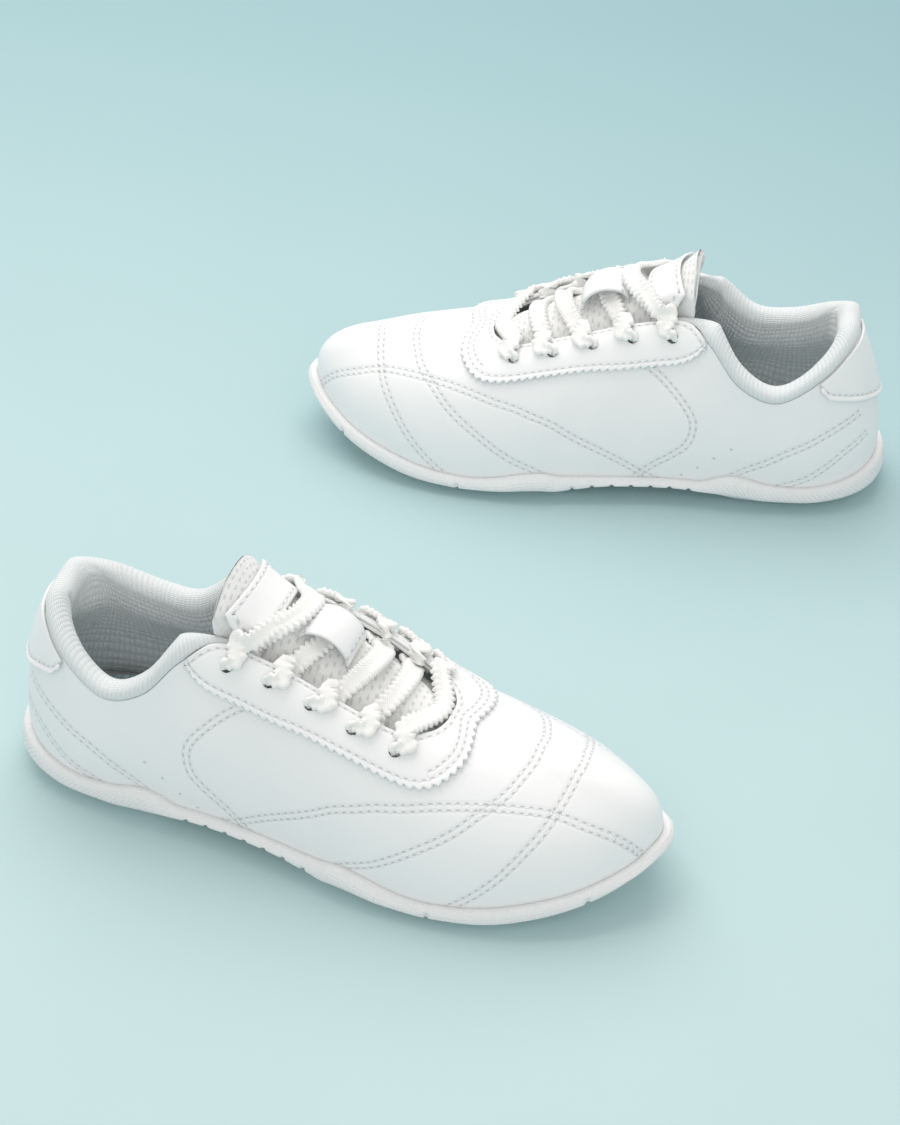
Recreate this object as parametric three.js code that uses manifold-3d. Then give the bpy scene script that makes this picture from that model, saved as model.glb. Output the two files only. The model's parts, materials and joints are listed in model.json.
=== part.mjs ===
// A pair of white low-top cheer shoes, in millimetres, +Z up, standing on the floor at z = 0.
// Each shoe is built in its own frame: x runs from the back of the heel to the toe, y to the wearer's left.
// The left shoe's toe points along +x. The right shoe is the left one mirrored and turned about z.
import * as THREE from 'three';
import { mergeVertices } from 'three/addons/utils/BufferGeometryUtils.js';
import Module from 'manifold-3d';

// ---------------------------------------------------------------- driving sizes
const shoeLength = 262;          // heel to toe over the sole; every other length is drawn for this one
const lengthScale = shoeLength / 262;
const widthScale = 1;            // 1 = standard fitting
const heightScale = 1;
const gap = 0.3;                 // air left between touching parts
const leather = 1.4;             // thickness of the upper
const overlay = 1.2;             // thickness of the eyestay
const liningThick = 0.8;
const stiffener = 0.9;           // heel counter and toe puff
const rimWall = 2.2;             // wall of the sole's rim
const tuck = 2;                  // depth of the upper inside the rim
const eyeletCount = 5;
const eyeletFirst = 100.5;       // x of the eyelet nearest the ankle
const eyeletPitch = 16.9;
const eyeletInset = 8.6;         // eyelet centre below the throat edge
const eyeletRadius = 2.4;
const pinkPitch = 5;             // zigzag on the outer edge of the eyestay
const pinkDepth = 2;
const collarRise = 8;            // knitted roll above the leather
const laceThick = 2.3;
const laceWide = 6.4;
const laceBunched = 3.4;         // lace width where it passes an eyelet
const rightShoePlace = [289, 277, 0];
const rightShoeTurn = 189.6;     // degrees about z from the left shoe

const colours = {
  leather: 0xf3f5f5, sole: 0xf1f3f3, knit: 0xe9eeee, mesh: 0xf4f5f4, lace: 0xf6f6f3,
  insole: 0xaebfc2, board: 0xd8d2c2, stiffener: 0xe2e0d8, lining: 0xe6ecec, aglet: 0xeef2f2,
};

// ---------------------------------------------------------------- small helpers
const V = (x, y, z) => new THREE.Vector3(x, y, z);
const lerp = THREE.MathUtils.lerp;

// Smooth curve through knots [x, value], read at any x.
function alongLength(knots) {
  const slopes = knots.map((k, i) => {
    const a = knots[Math.max(i - 1, 0)];
    const b = knots[Math.min(i + 1, knots.length - 1)];
    const level = a[1] === k[1] || b[1] === k[1];
    return level ? 0 : (b[1] - a[1]) / (b[0] - a[0]);
  });
  return (x) => {
    const last = knots.length - 2;
    let i = knots.findIndex((k) => k[0] > x) - 1;
    if (i < 0) i = x < knots[0][0] ? 0 : last;
    const span = knots[i + 1][0] - knots[i][0];
    const t = THREE.MathUtils.clamp((x - knots[i][0]) / span, 0, 1);
    const t2 = t * t;
    const t3 = t2 * t;
    return (2 * t3 - 3 * t2 + 1) * knots[i][1] + (t3 - 2 * t2 + t) * span * slopes[i]
      + (3 * t2 - 2 * t3) * knots[i + 1][1] + (t3 - t2) * span * slopes[i + 1];
  };
}

function geometryFrom(points, faces) {
  const shape = new THREE.BufferGeometry();
  shape.setAttribute('position', new THREE.Float32BufferAttribute(points.flatMap((p) => [p.x, p.y, p.z]), 3));
  shape.setIndex(faces.flat());
  return shape;
}

// Closed sheet between an outer and an inner grid of points, both [row][column].
function closedSheet(outer, inner, wraps) {
  const rows = outer.length;
  const columns = outer[0].length;
  const points = [...outer.flat(), ...inner.flat()];
  const at = (side, r, c) => side * rows * columns + r * columns + (c % columns);
  const faces = [];
  const quad = (a, b, c, d) => faces.push([a, b, c], [a, c, d]);
  const last = wraps ? columns : columns - 1;
  for (let c = 0; c < last; c += 1) {
    for (let r = 0; r < rows - 1; r += 1) {
      quad(at(0, r, c), at(0, r, c + 1), at(0, r + 1, c + 1), at(0, r + 1, c));
      quad(at(1, r, c), at(1, r + 1, c), at(1, r + 1, c + 1), at(1, r, c + 1));
    }
    quad(at(0, 0, c + 1), at(0, 0, c), at(1, 0, c), at(1, 0, c + 1));
    quad(at(0, rows - 1, c), at(0, rows - 1, c + 1), at(1, rows - 1, c + 1), at(1, rows - 1, c));
  }
  if (!wraps) {
    for (let r = 0; r < rows - 1; r += 1) {
      quad(at(0, r, 0), at(0, r + 1, 0), at(1, r + 1, 0), at(1, r, 0));
      quad(at(0, r + 1, columns - 1), at(0, r, columns - 1), at(1, r, columns - 1), at(1, r + 1, columns - 1));
    }
  }
  return geometryFrom(points, faces);
}

// Solid made of closed loops from the underside up; each loop starts at the heel and has an even count.
function stackedLoops(loops) {
  const count = loops[0].length;
  const points = loops.flat();
  const at = (k, c) => k * count + (c % count);
  const faces = [];
  for (let k = 0; k < loops.length - 1; k += 1) {
    for (let c = 0; c < count; c += 1) {
      faces.push([at(k, c), at(k, c + 1), at(k + 1, c + 1)], [at(k, c), at(k + 1, c + 1), at(k + 1, c)]);
    }
  }
  const top = loops.length - 1;
  for (let c = 0; c < count / 2; c += 1) {
    const corners = [c, c + 1, count - c - 1, (count - c) % count];
    const outline = corners.filter((v, i) => corners.indexOf(v) === i);
    for (let i = 1; i < outline.length - 1; i += 1) {
      faces.push([at(top, outline[0]), at(top, outline[i]), at(top, outline[i + 1])]);
      faces.push([at(0, outline[0]), at(0, outline[i + 1]), at(0, outline[i])]);
    }
  }
  return geometryFrom(points, faces);
}

// Solid swept through rings of equal count, closed at both ends by fans.
function sweptRings(rings) {
  const count = rings[0].length;
  const points = rings.flat();
  const faces = [];
  for (let k = 0; k < rings.length - 1; k += 1) {
    for (let c = 0; c < count; c += 1) {
      const a = k * count + c;
      const b = k * count + ((c + 1) % count);
      faces.push([a, b, b + count], [a, b + count, a + count]);
    }
  }
  const end = (rings.length - 1) * count;
  for (let c = 1; c < count - 1; c += 1) {
    faces.push([0, c + 1, c]);
    faces.push([end, end + c, end + c + 1]);
  }
  return geometryFrom(points, faces);
}

const wasm = await Module();
wasm.setup();

function toSolid(geometry) {
  const bare = geometry.clone();
  bare.deleteAttribute('normal');
  bare.deleteAttribute('uv');
  const merged = mergeVertices(bare, 1e-4);
  return new wasm.Manifold(new wasm.Mesh({
    numProp: 3,
    vertProperties: Float32Array.from(merged.attributes.position.array),
    triVerts: Uint32Array.from(merged.index.array),
  }));
}

// The solid's largest piece as a shape, without any crumbs that a cut has left.
function fromSolid(solid) {
  const [largest] = solid.decompose().sort((a, b) => b.volume() - a.volume());
  const mesh = largest.getMesh();
  const shape = new THREE.BufferGeometry();
  shape.setAttribute('position', new THREE.Float32BufferAttribute(mesh.vertProperties, 3));
  shape.setIndex(Array.from(mesh.triVerts));
  return shape;
}

// Rod from one point to another, used to punch holes.
function rod(from, to, radius, sides) {
  const axis = to.clone().sub(from);
  const shape = new THREE.CylinderGeometry(radius, radius, axis.length(), sides);
  const turn = new THREE.Quaternion().setFromUnitVectors(V(0, 1, 0), axis.clone().normalize());
  shape.applyQuaternion(turn);
  shape.translate(...from.clone().add(to).multiplyScalar(0.5).toArray());
  return shape;
}

// ---------------------------------------------------------------- the last the shoe is built on
// Twelve steps per side from the heel (0) over the inner side to the toe (12) and back over the outer side.
// sole: where the upper meets the sole; open: edge of the foot opening and throat;
// foot: handle of the rib at the sole [outward, up]; top: handle at the opening [outward, down].
const steps = 24;
const heel = { sole: [10, 0], open: [22, 0, 77.5], foot: [3, 18], top: [8, 17] };
const toe = { sole: [262, 3], open: [180.5, 2, 59.5], foot: [2.5, 29], top: [44, 8.5] };
const innerSide = [
  { sole: [15, -16.5], open: [25, -13.5, 75], foot: [3, 18], top: [6.5, 16] },
  { sole: [32.5, -27], open: [35.5, -23.5, 64.5], foot: [3.5, 16], top: [4, 13] },
  { sole: [57, -30.5], open: [53, -28.5, 54], foot: [3.5, 15], top: [1.5, 11] },
  { sole: [81, -31.5], open: [70, -28, 60], foot: [4, 17], top: [2, 14] },
  { sole: [100, -32.5], open: [83.5, -22.5, 75], foot: [4.5, 20], top: [5, 18] },
  { sole: [118, -35], open: [95, -12.5, 79.8], foot: [4.5, 22], top: [14, 7] },
  { sole: [140, -39], open: [117, -12.5, 76], foot: [4, 24], top: [18, 7.3] },
  { sole: [163, -42.5], open: [143, -15, 68.3], foot: [3.5, 24], top: [20, 7.9] },
  { sole: [189, -43.5], open: [167, -16.5, 61.5], foot: [3, 25], top: [22, 8.2] },
  { sole: [217, -38], open: [176.5, -11, 60], foot: [3, 26], top: [28, 8.5] },
  { sole: [244, -23], open: [180, -4.5, 59.5], foot: [2.5, 27], top: [38, 8.5] },
];
const outerSide = [
  { sole: [15, 17], open: [25.5, 14, 76], foot: [3, 18], top: [6.5, 16] },
  { sole: [32.5, 28], open: [36.5, 24.5, 69.5], foot: [3.5, 16], top: [4, 13] },
  { sole: [57, 33], open: [53, 30, 61.5], foot: [3.5, 15], top: [1.5, 11] },
  { sole: [81, 37], open: [69, 31, 60], foot: [3.5, 17], top: [2, 14] },
  { sole: [100, 41], open: [82, 30, 71.5], foot: [3.5, 20], top: [5, 18] },
  { sole: [118, 44.5], open: [93, 26.5, 79], foot: [3, 22], top: [13, 8] },
  { sole: [140, 47], open: [116, 28, 76.3], foot: [3, 23], top: [15, 9] },
  { sole: [163, 48], open: [142, 25.5, 70.2], foot: [2.5, 23], top: [17, 9] },
  { sole: [189, 46], open: [163.5, 20.5, 63.5], foot: [2.5, 24], top: [20, 9] },
  { sole: [217, 41], open: [175, 15, 60.4], foot: [2.5, 26], top: [28, 9.5] },
  { sole: [244, 27.5], open: [180, 8.5, 59.5], foot: [2.5, 27], top: [38, 8.5] },
];
const stations = [heel, ...innerSide, toe, ...[...outerSide].reverse()];

// Heights along the shoe: top of the sole's rim, underside of the sole, and the bed the foot rests over.
const rimTop = alongLength([[0, 21], [10, 18.5], [24, 13.8], [40, 12], [55, 13], [66, 16], [74, 15.5], [84, 12],
  [100, 12], [125, 12], [143, 12], [152, 13.5], [160, 12.8], [170, 10.5], [180, 9], [190, 8.8], [205, 10],
  [225, 13.5], [242, 17.5], [255, 22], [263, 27]]);
const underside = alongLength([[0, 4.5], [10, 1.2], [18, 0], [64, 0], [73, 1], [84, 4.2], [94, 5.6], [122, 5.6],
  [132, 4], [140, 1.6], [148, 0], [205, 0], [218, 1.4], [232, 5], [246, 10.5], [263, 19]]);
const footBed = alongLength([[0, 9.5], [55, 9.5], [85, 11.5], [120, 11], [150, 8], [175, 5.8], [205, 6],
  [225, 9], [242, 13.8], [262, 22]]);

const closedCurve = (points) => new THREE.CatmullRomCurve3(points, true, 'catmullrom', 0.5);
const soleEdge = closedCurve(stations.map((s) => V(s.sole[0], s.sole[1], 0)));
const openEdge = closedCurve(stations.map((s) => V(...s.open)));
const footHandle = closedCurve(stations.map((s) => V(s.foot[0], s.foot[1], 0)));
const topHandle = closedCurve(stations.map((s, i) => {
  const inFront = i >= 6 && i <= 18;
  const away = V(s.sole[0] - s.open[0], s.sole[1] - s.open[1], 0).normalize();
  const sideways = i === 0 ? V(-1, 0, 0) : V(-Math.cos(i * 0.4), i < 12 ? -1 : 1, 0).normalize();
  return (inFront ? away : sideways).multiplyScalar(s.top[0]).add(V(0, 0, -s.top[1]));
}));

const wrap = (u) => ((u % steps) + steps) / steps % 1;
const soleAt = (u) => soleEdge.getPoint(wrap(u));
const openAt = (u) => openEdge.getPoint(wrap(u));
const sizeUp = (p) => V(p.x * lengthScale, p.y * widthScale, p.z * heightScale);

// Unit vector pointing out of the sole outline at step u.
function outwardAt(u) {
  const along = soleAt(u + 0.02).sub(soleAt(u - 0.02)).normalize();
  return V(along.y, -along.x, 0);
}

// One rib of the last: from the sole edge up to the opening.
const ribs = new Map();
function rib(u) {
  const key = wrap(u).toFixed(6);
  if (!ribs.has(key)) {
    const foot = soleAt(u);
    foot.z = rimTop(foot.x) - tuck;
    const open = openAt(u);
    const low = footHandle.getPoint(wrap(u));
    const first = foot.clone().addScaledVector(outwardAt(u), low.x).add(V(0, 0, low.y));
    const second = open.clone().add(topHandle.getPoint(wrap(u)));
    const curve = new THREE.CubicBezierCurve3(...[foot, first, second, open].map(sizeUp));
    curve.arcLengthDivisions = 60;
    ribs.set(key, curve);
  }
  return ribs.get(key);
}
const ribLength = (u) => rib(u).getLength();

// Point at part t of rib u, moved out of the surface by off.
function skin(u, t, off = 0) {
  const point = rib(u).getPointAt(t);
  if (off === 0) return point;
  return point.addScaledVector(skinNormal(u, t), off);
}
function skinNormal(u, t) {
  const low = Math.max(t - 0.02, 0);
  const high = Math.min(t + 0.02, 1);
  const across = rib(u + 0.05).getPointAt(t).sub(rib(u - 0.05).getPointAt(t));
  const up = rib(u).getPointAt(high).sub(rib(u).getPointAt(low));
  return across.cross(up).normalize();
}
// The same, with the place given in millimetres below the opening or above the sole edge.
const below = (u, depth) => Math.max(0, 1 - depth / ribLength(u));

// All layers of the upper share these columns and rows, so that their facets stay parallel.
const upperColumns = Array.from({ length: 48 }, (_, i) => i / 2);
const upperRows = [0, 0.14, 0.32, 0.5, 0.68, 0.85, 1];
function spread(from, to, count) {
  return Array.from({ length: count + 1 }, (_, i) => lerp(from, to, i / count));
}

// Step on the inner side where the point at the given depth below the throat edge lies at the given x.
function throatStep(x, depth) {
  let low = 5;
  let high = 11.9;
  for (let i = 0; i < 40; i += 1) {
    const middle = (low + high) / 2;
    if (skin(middle, below(middle, depth)).x < x) low = middle;
    else high = middle;
  }
  return (low + high) / 2;
}
const mirrorStep = (u) => steps - u;

// ---------------------------------------------------------------- sole unit
const soleColumns = 48;
function outlineLoop(inset, heightOf, columns = soleColumns) {
  return spread(0, steps, columns).slice(0, -1).map((u) => {
    const point = soleAt(u);
    const height = heightOf(point.x);
    point.addScaledVector(outwardAt(u), -inset);
    return sizeUp(V(point.x, point.y, height));
  });
}

function outsoleShape() {
  const clearance = 1.2;
  const bottomRound = 2;
  const ledge = 6;
  const ledgeDrop = 0.9;
  const middle = (x) => lerp(underside(x), rimTop(x), 0.6);
  const body = toSolid(stackedLoops([
    outlineLoop(3, underside),
    outlineLoop(-clearance - rimWall + 2, (x) => underside(x) + bottomRound),
    outlineLoop(-clearance - rimWall, middle),
    outlineLoop(-clearance - rimWall + 0.2, rimTop),
    outlineLoop(-clearance, rimTop),
    outlineLoop(-clearance, (x) => rimTop(x) - tuck - ledgeDrop),
    outlineLoop(leather + ledgeDrop, (x) => rimTop(x) - tuck - ledgeDrop),
    outlineLoop(ledge, footBed),
  ]));
  return fromSolid(body);
}

function boardShape() {
  const inset = 6.9;
  const bottom = (x) => footBed(x) + gap;
  const thick = 1.6;
  return stackedLoops([
    outlineLoop(inset, bottom, 36),
    outlineLoop(inset, (x) => bottom(x) + thick, 36),
  ]);
}

function insoleShape() {
  const inset = 7.2;
  const bottom = (x) => footBed(x) + gap + 1.6 + gap;
  const thick = 4;
  return stackedLoops([
    outlineLoop(inset, bottom, 36),
    outlineLoop(inset, (x) => bottom(x) + thick, 36),
  ]);
}

// ---------------------------------------------------------------- upper and what is hidden under it
const eyeletX = (i) => (eyeletFirst + eyeletPitch * i) * lengthScale;
const eyeletSteps = spread(0, eyeletCount - 1, eyeletCount - 1).map((i) => throatStep(eyeletX(i), eyeletInset));

function eyeletPunches(reachOut, reachIn) {
  return eyeletSteps.flatMap((u) => [u, mirrorStep(u)]).map((u) => {
    const t = below(u, eyeletInset);
    return toSolid(rod(skin(u, t, reachOut), skin(u, t, -reachIn), eyeletRadius, 8));
  });
}

function upperShape() {
  const layer = (off) => upperRows.map((t) => upperColumns.map((u) => skin(u, t, off)));
  let body = toSolid(closedSheet(layer(0), layer(-leather), true));
  for (const punch of eyeletPunches(3, 5)) body = body.subtract(punch);
  return fromSolid(body);
}

const collarDeep = (u) => Math.min(34, ribLength(u) * 0.5);
function liningShape() {
  const outside = leather + gap + stiffener + gap;
  const throatDepth = 14;
  const topOf = (u) => {
    const toCollar = Math.min(wrap(u), 1 - wrap(u)) * steps;
    const mix = THREE.MathUtils.smoothstep(toCollar, 5.6, 6.6);
    return below(u, lerp(collarDeep(u) + 3, throatDepth, mix));
  };
  const rows = upperRows.slice(1, 5);
  const layer = (off) => rows.map((t, k) => upperColumns.map((u) => {
    const top = topOf(u);
    return skin(u, lerp(Math.min(t, top), top, k / (rows.length - 1)), off);
  }));
  return closedSheet(layer(-outside), layer(-outside - liningThick), true);
}

// Stiff sheet hidden between upper and lining, from one half step of the last to another.
function stiffenerShape(from, to) {
  const columns = spread(from, to, (to - from) * 2);
  const rows = upperRows.slice(1, 4);
  const layer = (off) => rows.map((t) => columns.map((u) => skin(u, t, off)));
  return closedSheet(layer(-leather - gap), layer(-leather - gap - stiffener), false);
}

// Padded knit collar: a roll over the top line that runs down inside as a thick lining.
const collarEnd = 6;
function collarShape() {
  const columns = spread(-collarEnd, collarEnd, collarEnd * 4);
  const inside = leather + gap + stiffener + gap;
  return sweptRings(columns.map((u) => {
    const ending = THREE.MathUtils.smoothstep(Math.abs(u), 5, collarEnd);
    const size = lerp(1, 0.3, ending);
    const deep = lerp(collarDeep(u), 4.5, ending);
    const pad = lerp(6.4, 1.3, ending);
    const rise = collarRise * lerp(1, 0.42, ending);
    const edge = skin(u, 1);
    const out = skinNormal(u, 1);
    const up = rib(u).getPointAt(1).sub(rib(u).getPointAt(0.94)).normalize();
    const over = (off, height) => edge.clone().addScaledVector(out, off).addScaledVector(up, height);
    return [
      over(-0.1, gap),
      over(0.3 * size, rise * 0.4),
      over(-0.8 * size, rise * 0.78),
      over(-3.2 * size, rise * 1.02),
      over(-6.2 * size, rise * 0.98),
      over(-inside - pad * 0.86, rise * 0.6),
      over(-inside - pad, gap),
      skin(u, below(u, deep * 0.35), -inside - pad * 0.86),
      skin(u, below(u, deep * 0.75), -inside - pad * 0.5),
      skin(u, below(u, deep), -inside - pad * 0.3),
      skin(u, below(u, deep), -inside),
      skin(u, below(u, deep * 0.5), -inside),
      skin(u, below(u, Math.min(3, deep * 0.3)), -inside),
      over(-leather - gap, gap),
    ].reverse();
  }));
}

// Eyestay: U-shaped band round the throat with a pinked outer edge.
const stayStart = 5.15;
function stayWidth(u) {
  const fromStart = Math.min(Math.abs(u - stayStart), Math.abs(mirrorStep(stayStart) - u));
  const towardToe = THREE.MathUtils.smoothstep(12 - Math.abs(u - 12), 9, 12);
  const flank = 20 * (1 - Math.exp(-fromStart / 0.32));
  return Math.max(1.2, lerp(flank, 9, towardToe));
}

function eyestayShape() {
  const edgeAt = (u) => skin(u, below(u, stayWidth(u)));
  const fine = spread(stayStart, mirrorStep(stayStart), 600);
  const lengths = [0];
  for (let i = 1; i < fine.length; i += 1) {
    lengths.push(lengths[i - 1] + edgeAt(fine[i]).distanceTo(edgeAt(fine[i - 1])));
  }
  const teeth = Math.round(lengths[lengths.length - 1] / pinkPitch);
  const columns = spread(0, teeth * 2, teeth * 2).map((i) => {
    const wanted = lengths[lengths.length - 1] * i / (teeth * 2);
    const k = Math.max(1, lengths.findIndex((v) => v >= wanted - 1e-9));
    const part = (wanted - lengths[k - 1]) / (lengths[k] - lengths[k - 1]);
    return lerp(fine[k - 1], fine[k], part);
  });
  const depthOf = (u, i, k) => {
    const tooth = i % 2 === 0 ? pinkDepth : 0;
    const width = stayWidth(u);
    return [width + (width > 3 ? tooth : 0), width * 0.6, 0][k];
  };
  const layer = (off) => [0, 1, 2].map((k) => columns.map((u, i) => skin(u, below(u, depthOf(u, i, k)), off)));
  let body = toSolid(closedSheet(layer(gap + overlay), layer(gap), false));
  for (const punch of eyeletPunches(5, 2)) body = body.subtract(punch);
  return fromSolid(body);
}

// Heel tab: a smooth overlay round the back of the top line.
const tabReach = 2.05;
function heelTabShape() {
  const thick = 1.3;
  const hem = 0.5;
  const deep = alongLength([[0, 31], [0.5, 28.5], [1, 23], [1.5, 15.5], [1.85, 9.5], [tabReach, 4]]);
  const columns = spread(-tabReach, tabReach, 24);
  const layer = (off, fold) => [1, 0.66, 0.33, 0].map((k) => columns.map((u) => {
    const height = 0.2 + deep(Math.abs(u)) * k;
    return skin(u, below(u, height), off + (k === 1 ? fold : 0));
  }));
  return closedSheet(layer(gap + thick, hem), layer(gap, 0), false);
}

// ---------------------------------------------------------------- tongue, label and keeper
const tongueLine = new THREE.CatmullRomCurve3([V(206, 0, 49), V(192, 1, 54.5), V(174, 2.5, 62),
  V(150, 5, 71.5), V(128, 7, 79.3), V(113, 7.5, 86), V(102.5, 7.5, 92.5), V(97, 8, 98), V(94.5, 8.5, 101.5)],
false, 'catmullrom', 0.5);
const tongueHalf = alongLength([[0, 17], [0.2, 20], [0.45, 24], [0.72, 24.5], [0.85, 20], [1, 16.5]]);
const tongueCrown = alongLength([[0, 6], [0.16, 10], [0.35, 15], [0.5, 17], [0.65, 18], [0.75, 14], [0.9, 9.5], [1, 8.5]]);
const tongueThick = alongLength([[0, 1.6], [0.25, 3], [0.6, 5], [0.9, 6], [1, 4.5]]);

// Samples of the underside of the flaps beside the throat, lowered by the room lining, lace and collar need.
const flapSamples = spread(4.5, steps - 4.5, 60).flatMap((u) => {
  const fromHeel = Math.min(wrap(u), 1 - wrap(u)) * steps;
  const room = lerp(9.8, 5.4, THREE.MathUtils.smoothstep(fromHeel, 5, 6.1));
  const edge = skin(u, 1);
  const inward = rib(u).getPointAt(1).sub(rib(u).getPointAt(0.94)).normalize();
  return [-6, -3, 0, 4, 9, 15, 22, 30].map((depth) => {
    const normal = skinNormal(u, below(u, Math.max(depth, 0)));
    const point = skin(u, below(u, Math.max(depth, 0)), -room).addScaledVector(inward, Math.max(-depth, 0));
    return { edge, inward, normal, point };
  });
});

// Moves a point of the tongue below the flap it would otherwise pass through.
function pressed(point) {
  let nearest = flapSamples[0];
  for (const s of flapSamples) {
    if (s.point.distanceToSquared(point) < nearest.point.distanceToSquared(point)) nearest = s;
  }
  const height = point.clone().sub(nearest.point).dot(nearest.normal);
  const intoThroat = point.clone().sub(nearest.edge).dot(nearest.inward);
  const share = 1 - THREE.MathUtils.smoothstep(intoThroat, 2, 9);
  return point.addScaledVector(nearest.normal, -Math.max(height, 0) * share);
}

// Point on the tongue: k along it from the sewn end, q from -1 to 1 across, off above its top face.
function tongueFrame(k) {
  const t = THREE.MathUtils.clamp(k, 0, 1);
  const along = tongueLine.getTangentAt(t);
  return { centre: tongueLine.getPointAt(t), up: V(along.z, 0, -along.x).normalize() };
}
function onTongue(k, q, off = 0) {
  const { centre, up } = tongueFrame(k);
  const side = tongueHalf(k) * q;
  const drop = tongueCrown(k) * q * q;
  const top = sizeUp(centre.addScaledVector(V(0, 1, 0), side).addScaledVector(up, -drop));
  return pressed(top).addScaledVector(up, off);
}
function tongueNormal(k, q) {
  const across = onTongue(k, q + 0.04).sub(onTongue(k, q - 0.04));
  const along = onTongue(k + 0.01, q).sub(onTongue(k - 0.01, q));
  return along.cross(across).normalize().multiplyScalar(-1);
}

// Point over the tongue at the given x and y, off above it.
function overTongue(x, y, off) {
  let low = 0;
  let high = 1;
  for (let i = 0; i < 40; i += 1) {
    const middle = (low + high) / 2;
    if (tongueLine.getPointAt(middle).x * lengthScale > x) low = middle;
    else high = middle;
  }
  const q = (y / widthScale - tongueLine.getPointAt(low).y) / tongueHalf(low);
  const up = tongueNormal(low, q);
  return { point: onTongue(low, q).addScaledVector(up, off), up };
}

function tongueShape() {
  const roundedEnd = 0.07;
  const along = spread(0, 1, 18);
  const across = [-1, -0.84, -0.68, -0.5, -0.25, 0, 0.25, 0.5, 0.68, 0.84, 1];
  const layer = (under) => along.map((k) => across.map((q) => {
    const edge = 0.45 + 0.55 * Math.sqrt(Math.max(0, 1 - Math.abs(q) ** 3));
    return onTongue(k * (1 - roundedEnd * q * q), q, -under * tongueThick(k) * edge);
  }));
  return closedSheet(layer(0), layer(1), false);
}

function labelShape() {
  const halfWidth = 16;
  const lift = 1.2;
  const thick = 0.8;
  const along = spread(0.8, 0.93, 6);
  const across = spread(-1, 1, 8);
  const layer = (off) => along.map((k) => across.map((q) => {
    const part = q * halfWidth / tongueHalf(k);
    return onTongue(k, part).addScaledVector(tongueNormal(k, part), off);
  }));
  return closedSheet(layer(lift + thick), layer(lift), false);
}

const keeperFrom = 0.588;
const keeperTo = 0.757;
const keeperHalf = 8.5;
function keeperLift(k) {
  const part = (k - keeperFrom) / (keeperTo - keeperFrom);
  return 0.6 + 8.8 * Math.sin(Math.PI * THREE.MathUtils.clamp(part, 0, 1)) ** 0.45;
}
function keeperShape() {
  const thick = 1.2;
  const along = spread(keeperFrom, keeperTo, 14);
  const across = [-1, 0, 1];
  const layer = (off) => along.map((k) => across.map((q) => onTongue(k, q * keeperHalf / tongueHalf(k), keeperLift(k) + off)));
  return closedSheet(layer(thick), layer(0), false);
}

// ---------------------------------------------------------------- lace and its two tips
// Way of the lace: from the front bar each half goes down an eyelet, under its own throat edge, across the
// tongue and down into the next eyelet of the other side, ending inside at the eyelet nearest the ankle.
// For the crossing that leaves each eyelet: extra height over label or keeper, and how far it bows forward.
const laceOver = [0, 3, 0.4, 0, 0];
const laceBulge = [0, 5, 4.5, 8, 3];
function lacePath(side) {
  const way = [];
  const stepOf = (i, s) => (s < 0 ? eyeletSteps[i] : mirrorStep(eyeletSteps[i]));
  const onStay = gap + overlay + gap + laceThick / 2;
  const underEdge = -leather - gap - laceThick / 2 - 0.5;
  const towardToe = (side, amount) => (side < 0 ? amount : -amount);
  let flip = 1;
  const add = (point, up, wide) => way.push({ point, up: up.clone().normalize().multiplyScalar(flip), wide });
  let s = side;
  for (let i = eyeletCount - 1; i >= 0; i -= 1) {
    const u = stepOf(i, s);
    const hole = skin(u, below(u, eyeletInset));
    const n = skinNormal(u, below(u, eyeletInset));
    const toEdge = skin(u, below(u, 2)).sub(hole).normalize();
    const lead = u + towardToe(s, 0.26);
    add(skin(lead, 1, onStay + 0.8).addScaledVector(toEdge, 1.5), n, laceWide);
    const half = u + towardToe(s, 0.12);
    add(skin(half, below(half, 3.8), onStay + 0.2), n, laceWide * 0.8);
    add(hole.clone().addScaledVector(n, onStay + 0.2).addScaledVector(toEdge, 0.7), n.clone().sub(toEdge), laceBunched);
    add(hole.clone().addScaledVector(n, 0.1), toEdge.clone().negate(), laceBunched);
    flip = -flip;
    add(hole.clone().addScaledVector(n, underEdge).addScaledVector(toEdge, 0.4), n.clone().add(toEdge), laceBunched);
    if (i === 0) {
      [[16, 6, 0.2], [26, 6.8, 0.6], [34, 7, 1]].forEach(([depth, off, ahead]) => {
        const v = s < 0 ? u + ahead : u - ahead;
        add(skin(v, below(v, depth), -off), n, laceBunched);
      });
      break;
    }
    const back = u + towardToe(s, -0.18);
    add(skin(back, below(back, 1.2), underEdge - 0.2), n, laceWide * 0.8);
    const from = skin(u + towardToe(s, -0.28), 1);
    const goal = skin(stepOf(i - 1, -s) + towardToe(-s, 0.26), 1);
    const resting = laceThick / 2 + 0.6 + laceOver[i];
    const crossing = s * side > 0 ? resting : resting + laceThick + gap;
    [[0.1, lerp(resting, 1.8, 0.5)], [0.24, resting], [0.38, lerp(resting, crossing, 0.8)], [0.5, crossing],
      [0.62, lerp(resting, crossing, 0.8)], [0.76, resting], [0.87, resting + 2.2]].forEach(([part, off]) => {
      const place = from.clone().lerp(goal, part).add(V(laceBulge[i] * Math.sin(Math.PI * part), 0, 0));
      const over = overTongue(place.x, place.y, off);
      add(over.point, over.up, laceWide);
    });
    s = -s;
  }
  return way;
}

function laceWay() {
  const ahead = 6.5 * lengthScale;
  const middle = overTongue(eyeletX(eyeletCount - 1) + ahead, 2, 3);
  const bar = { point: middle.point, up: V(0, 0, 1), wide: laceWide };
  return [...lacePath(-1).reverse(), bar, ...lacePath(1)];
}

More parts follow.
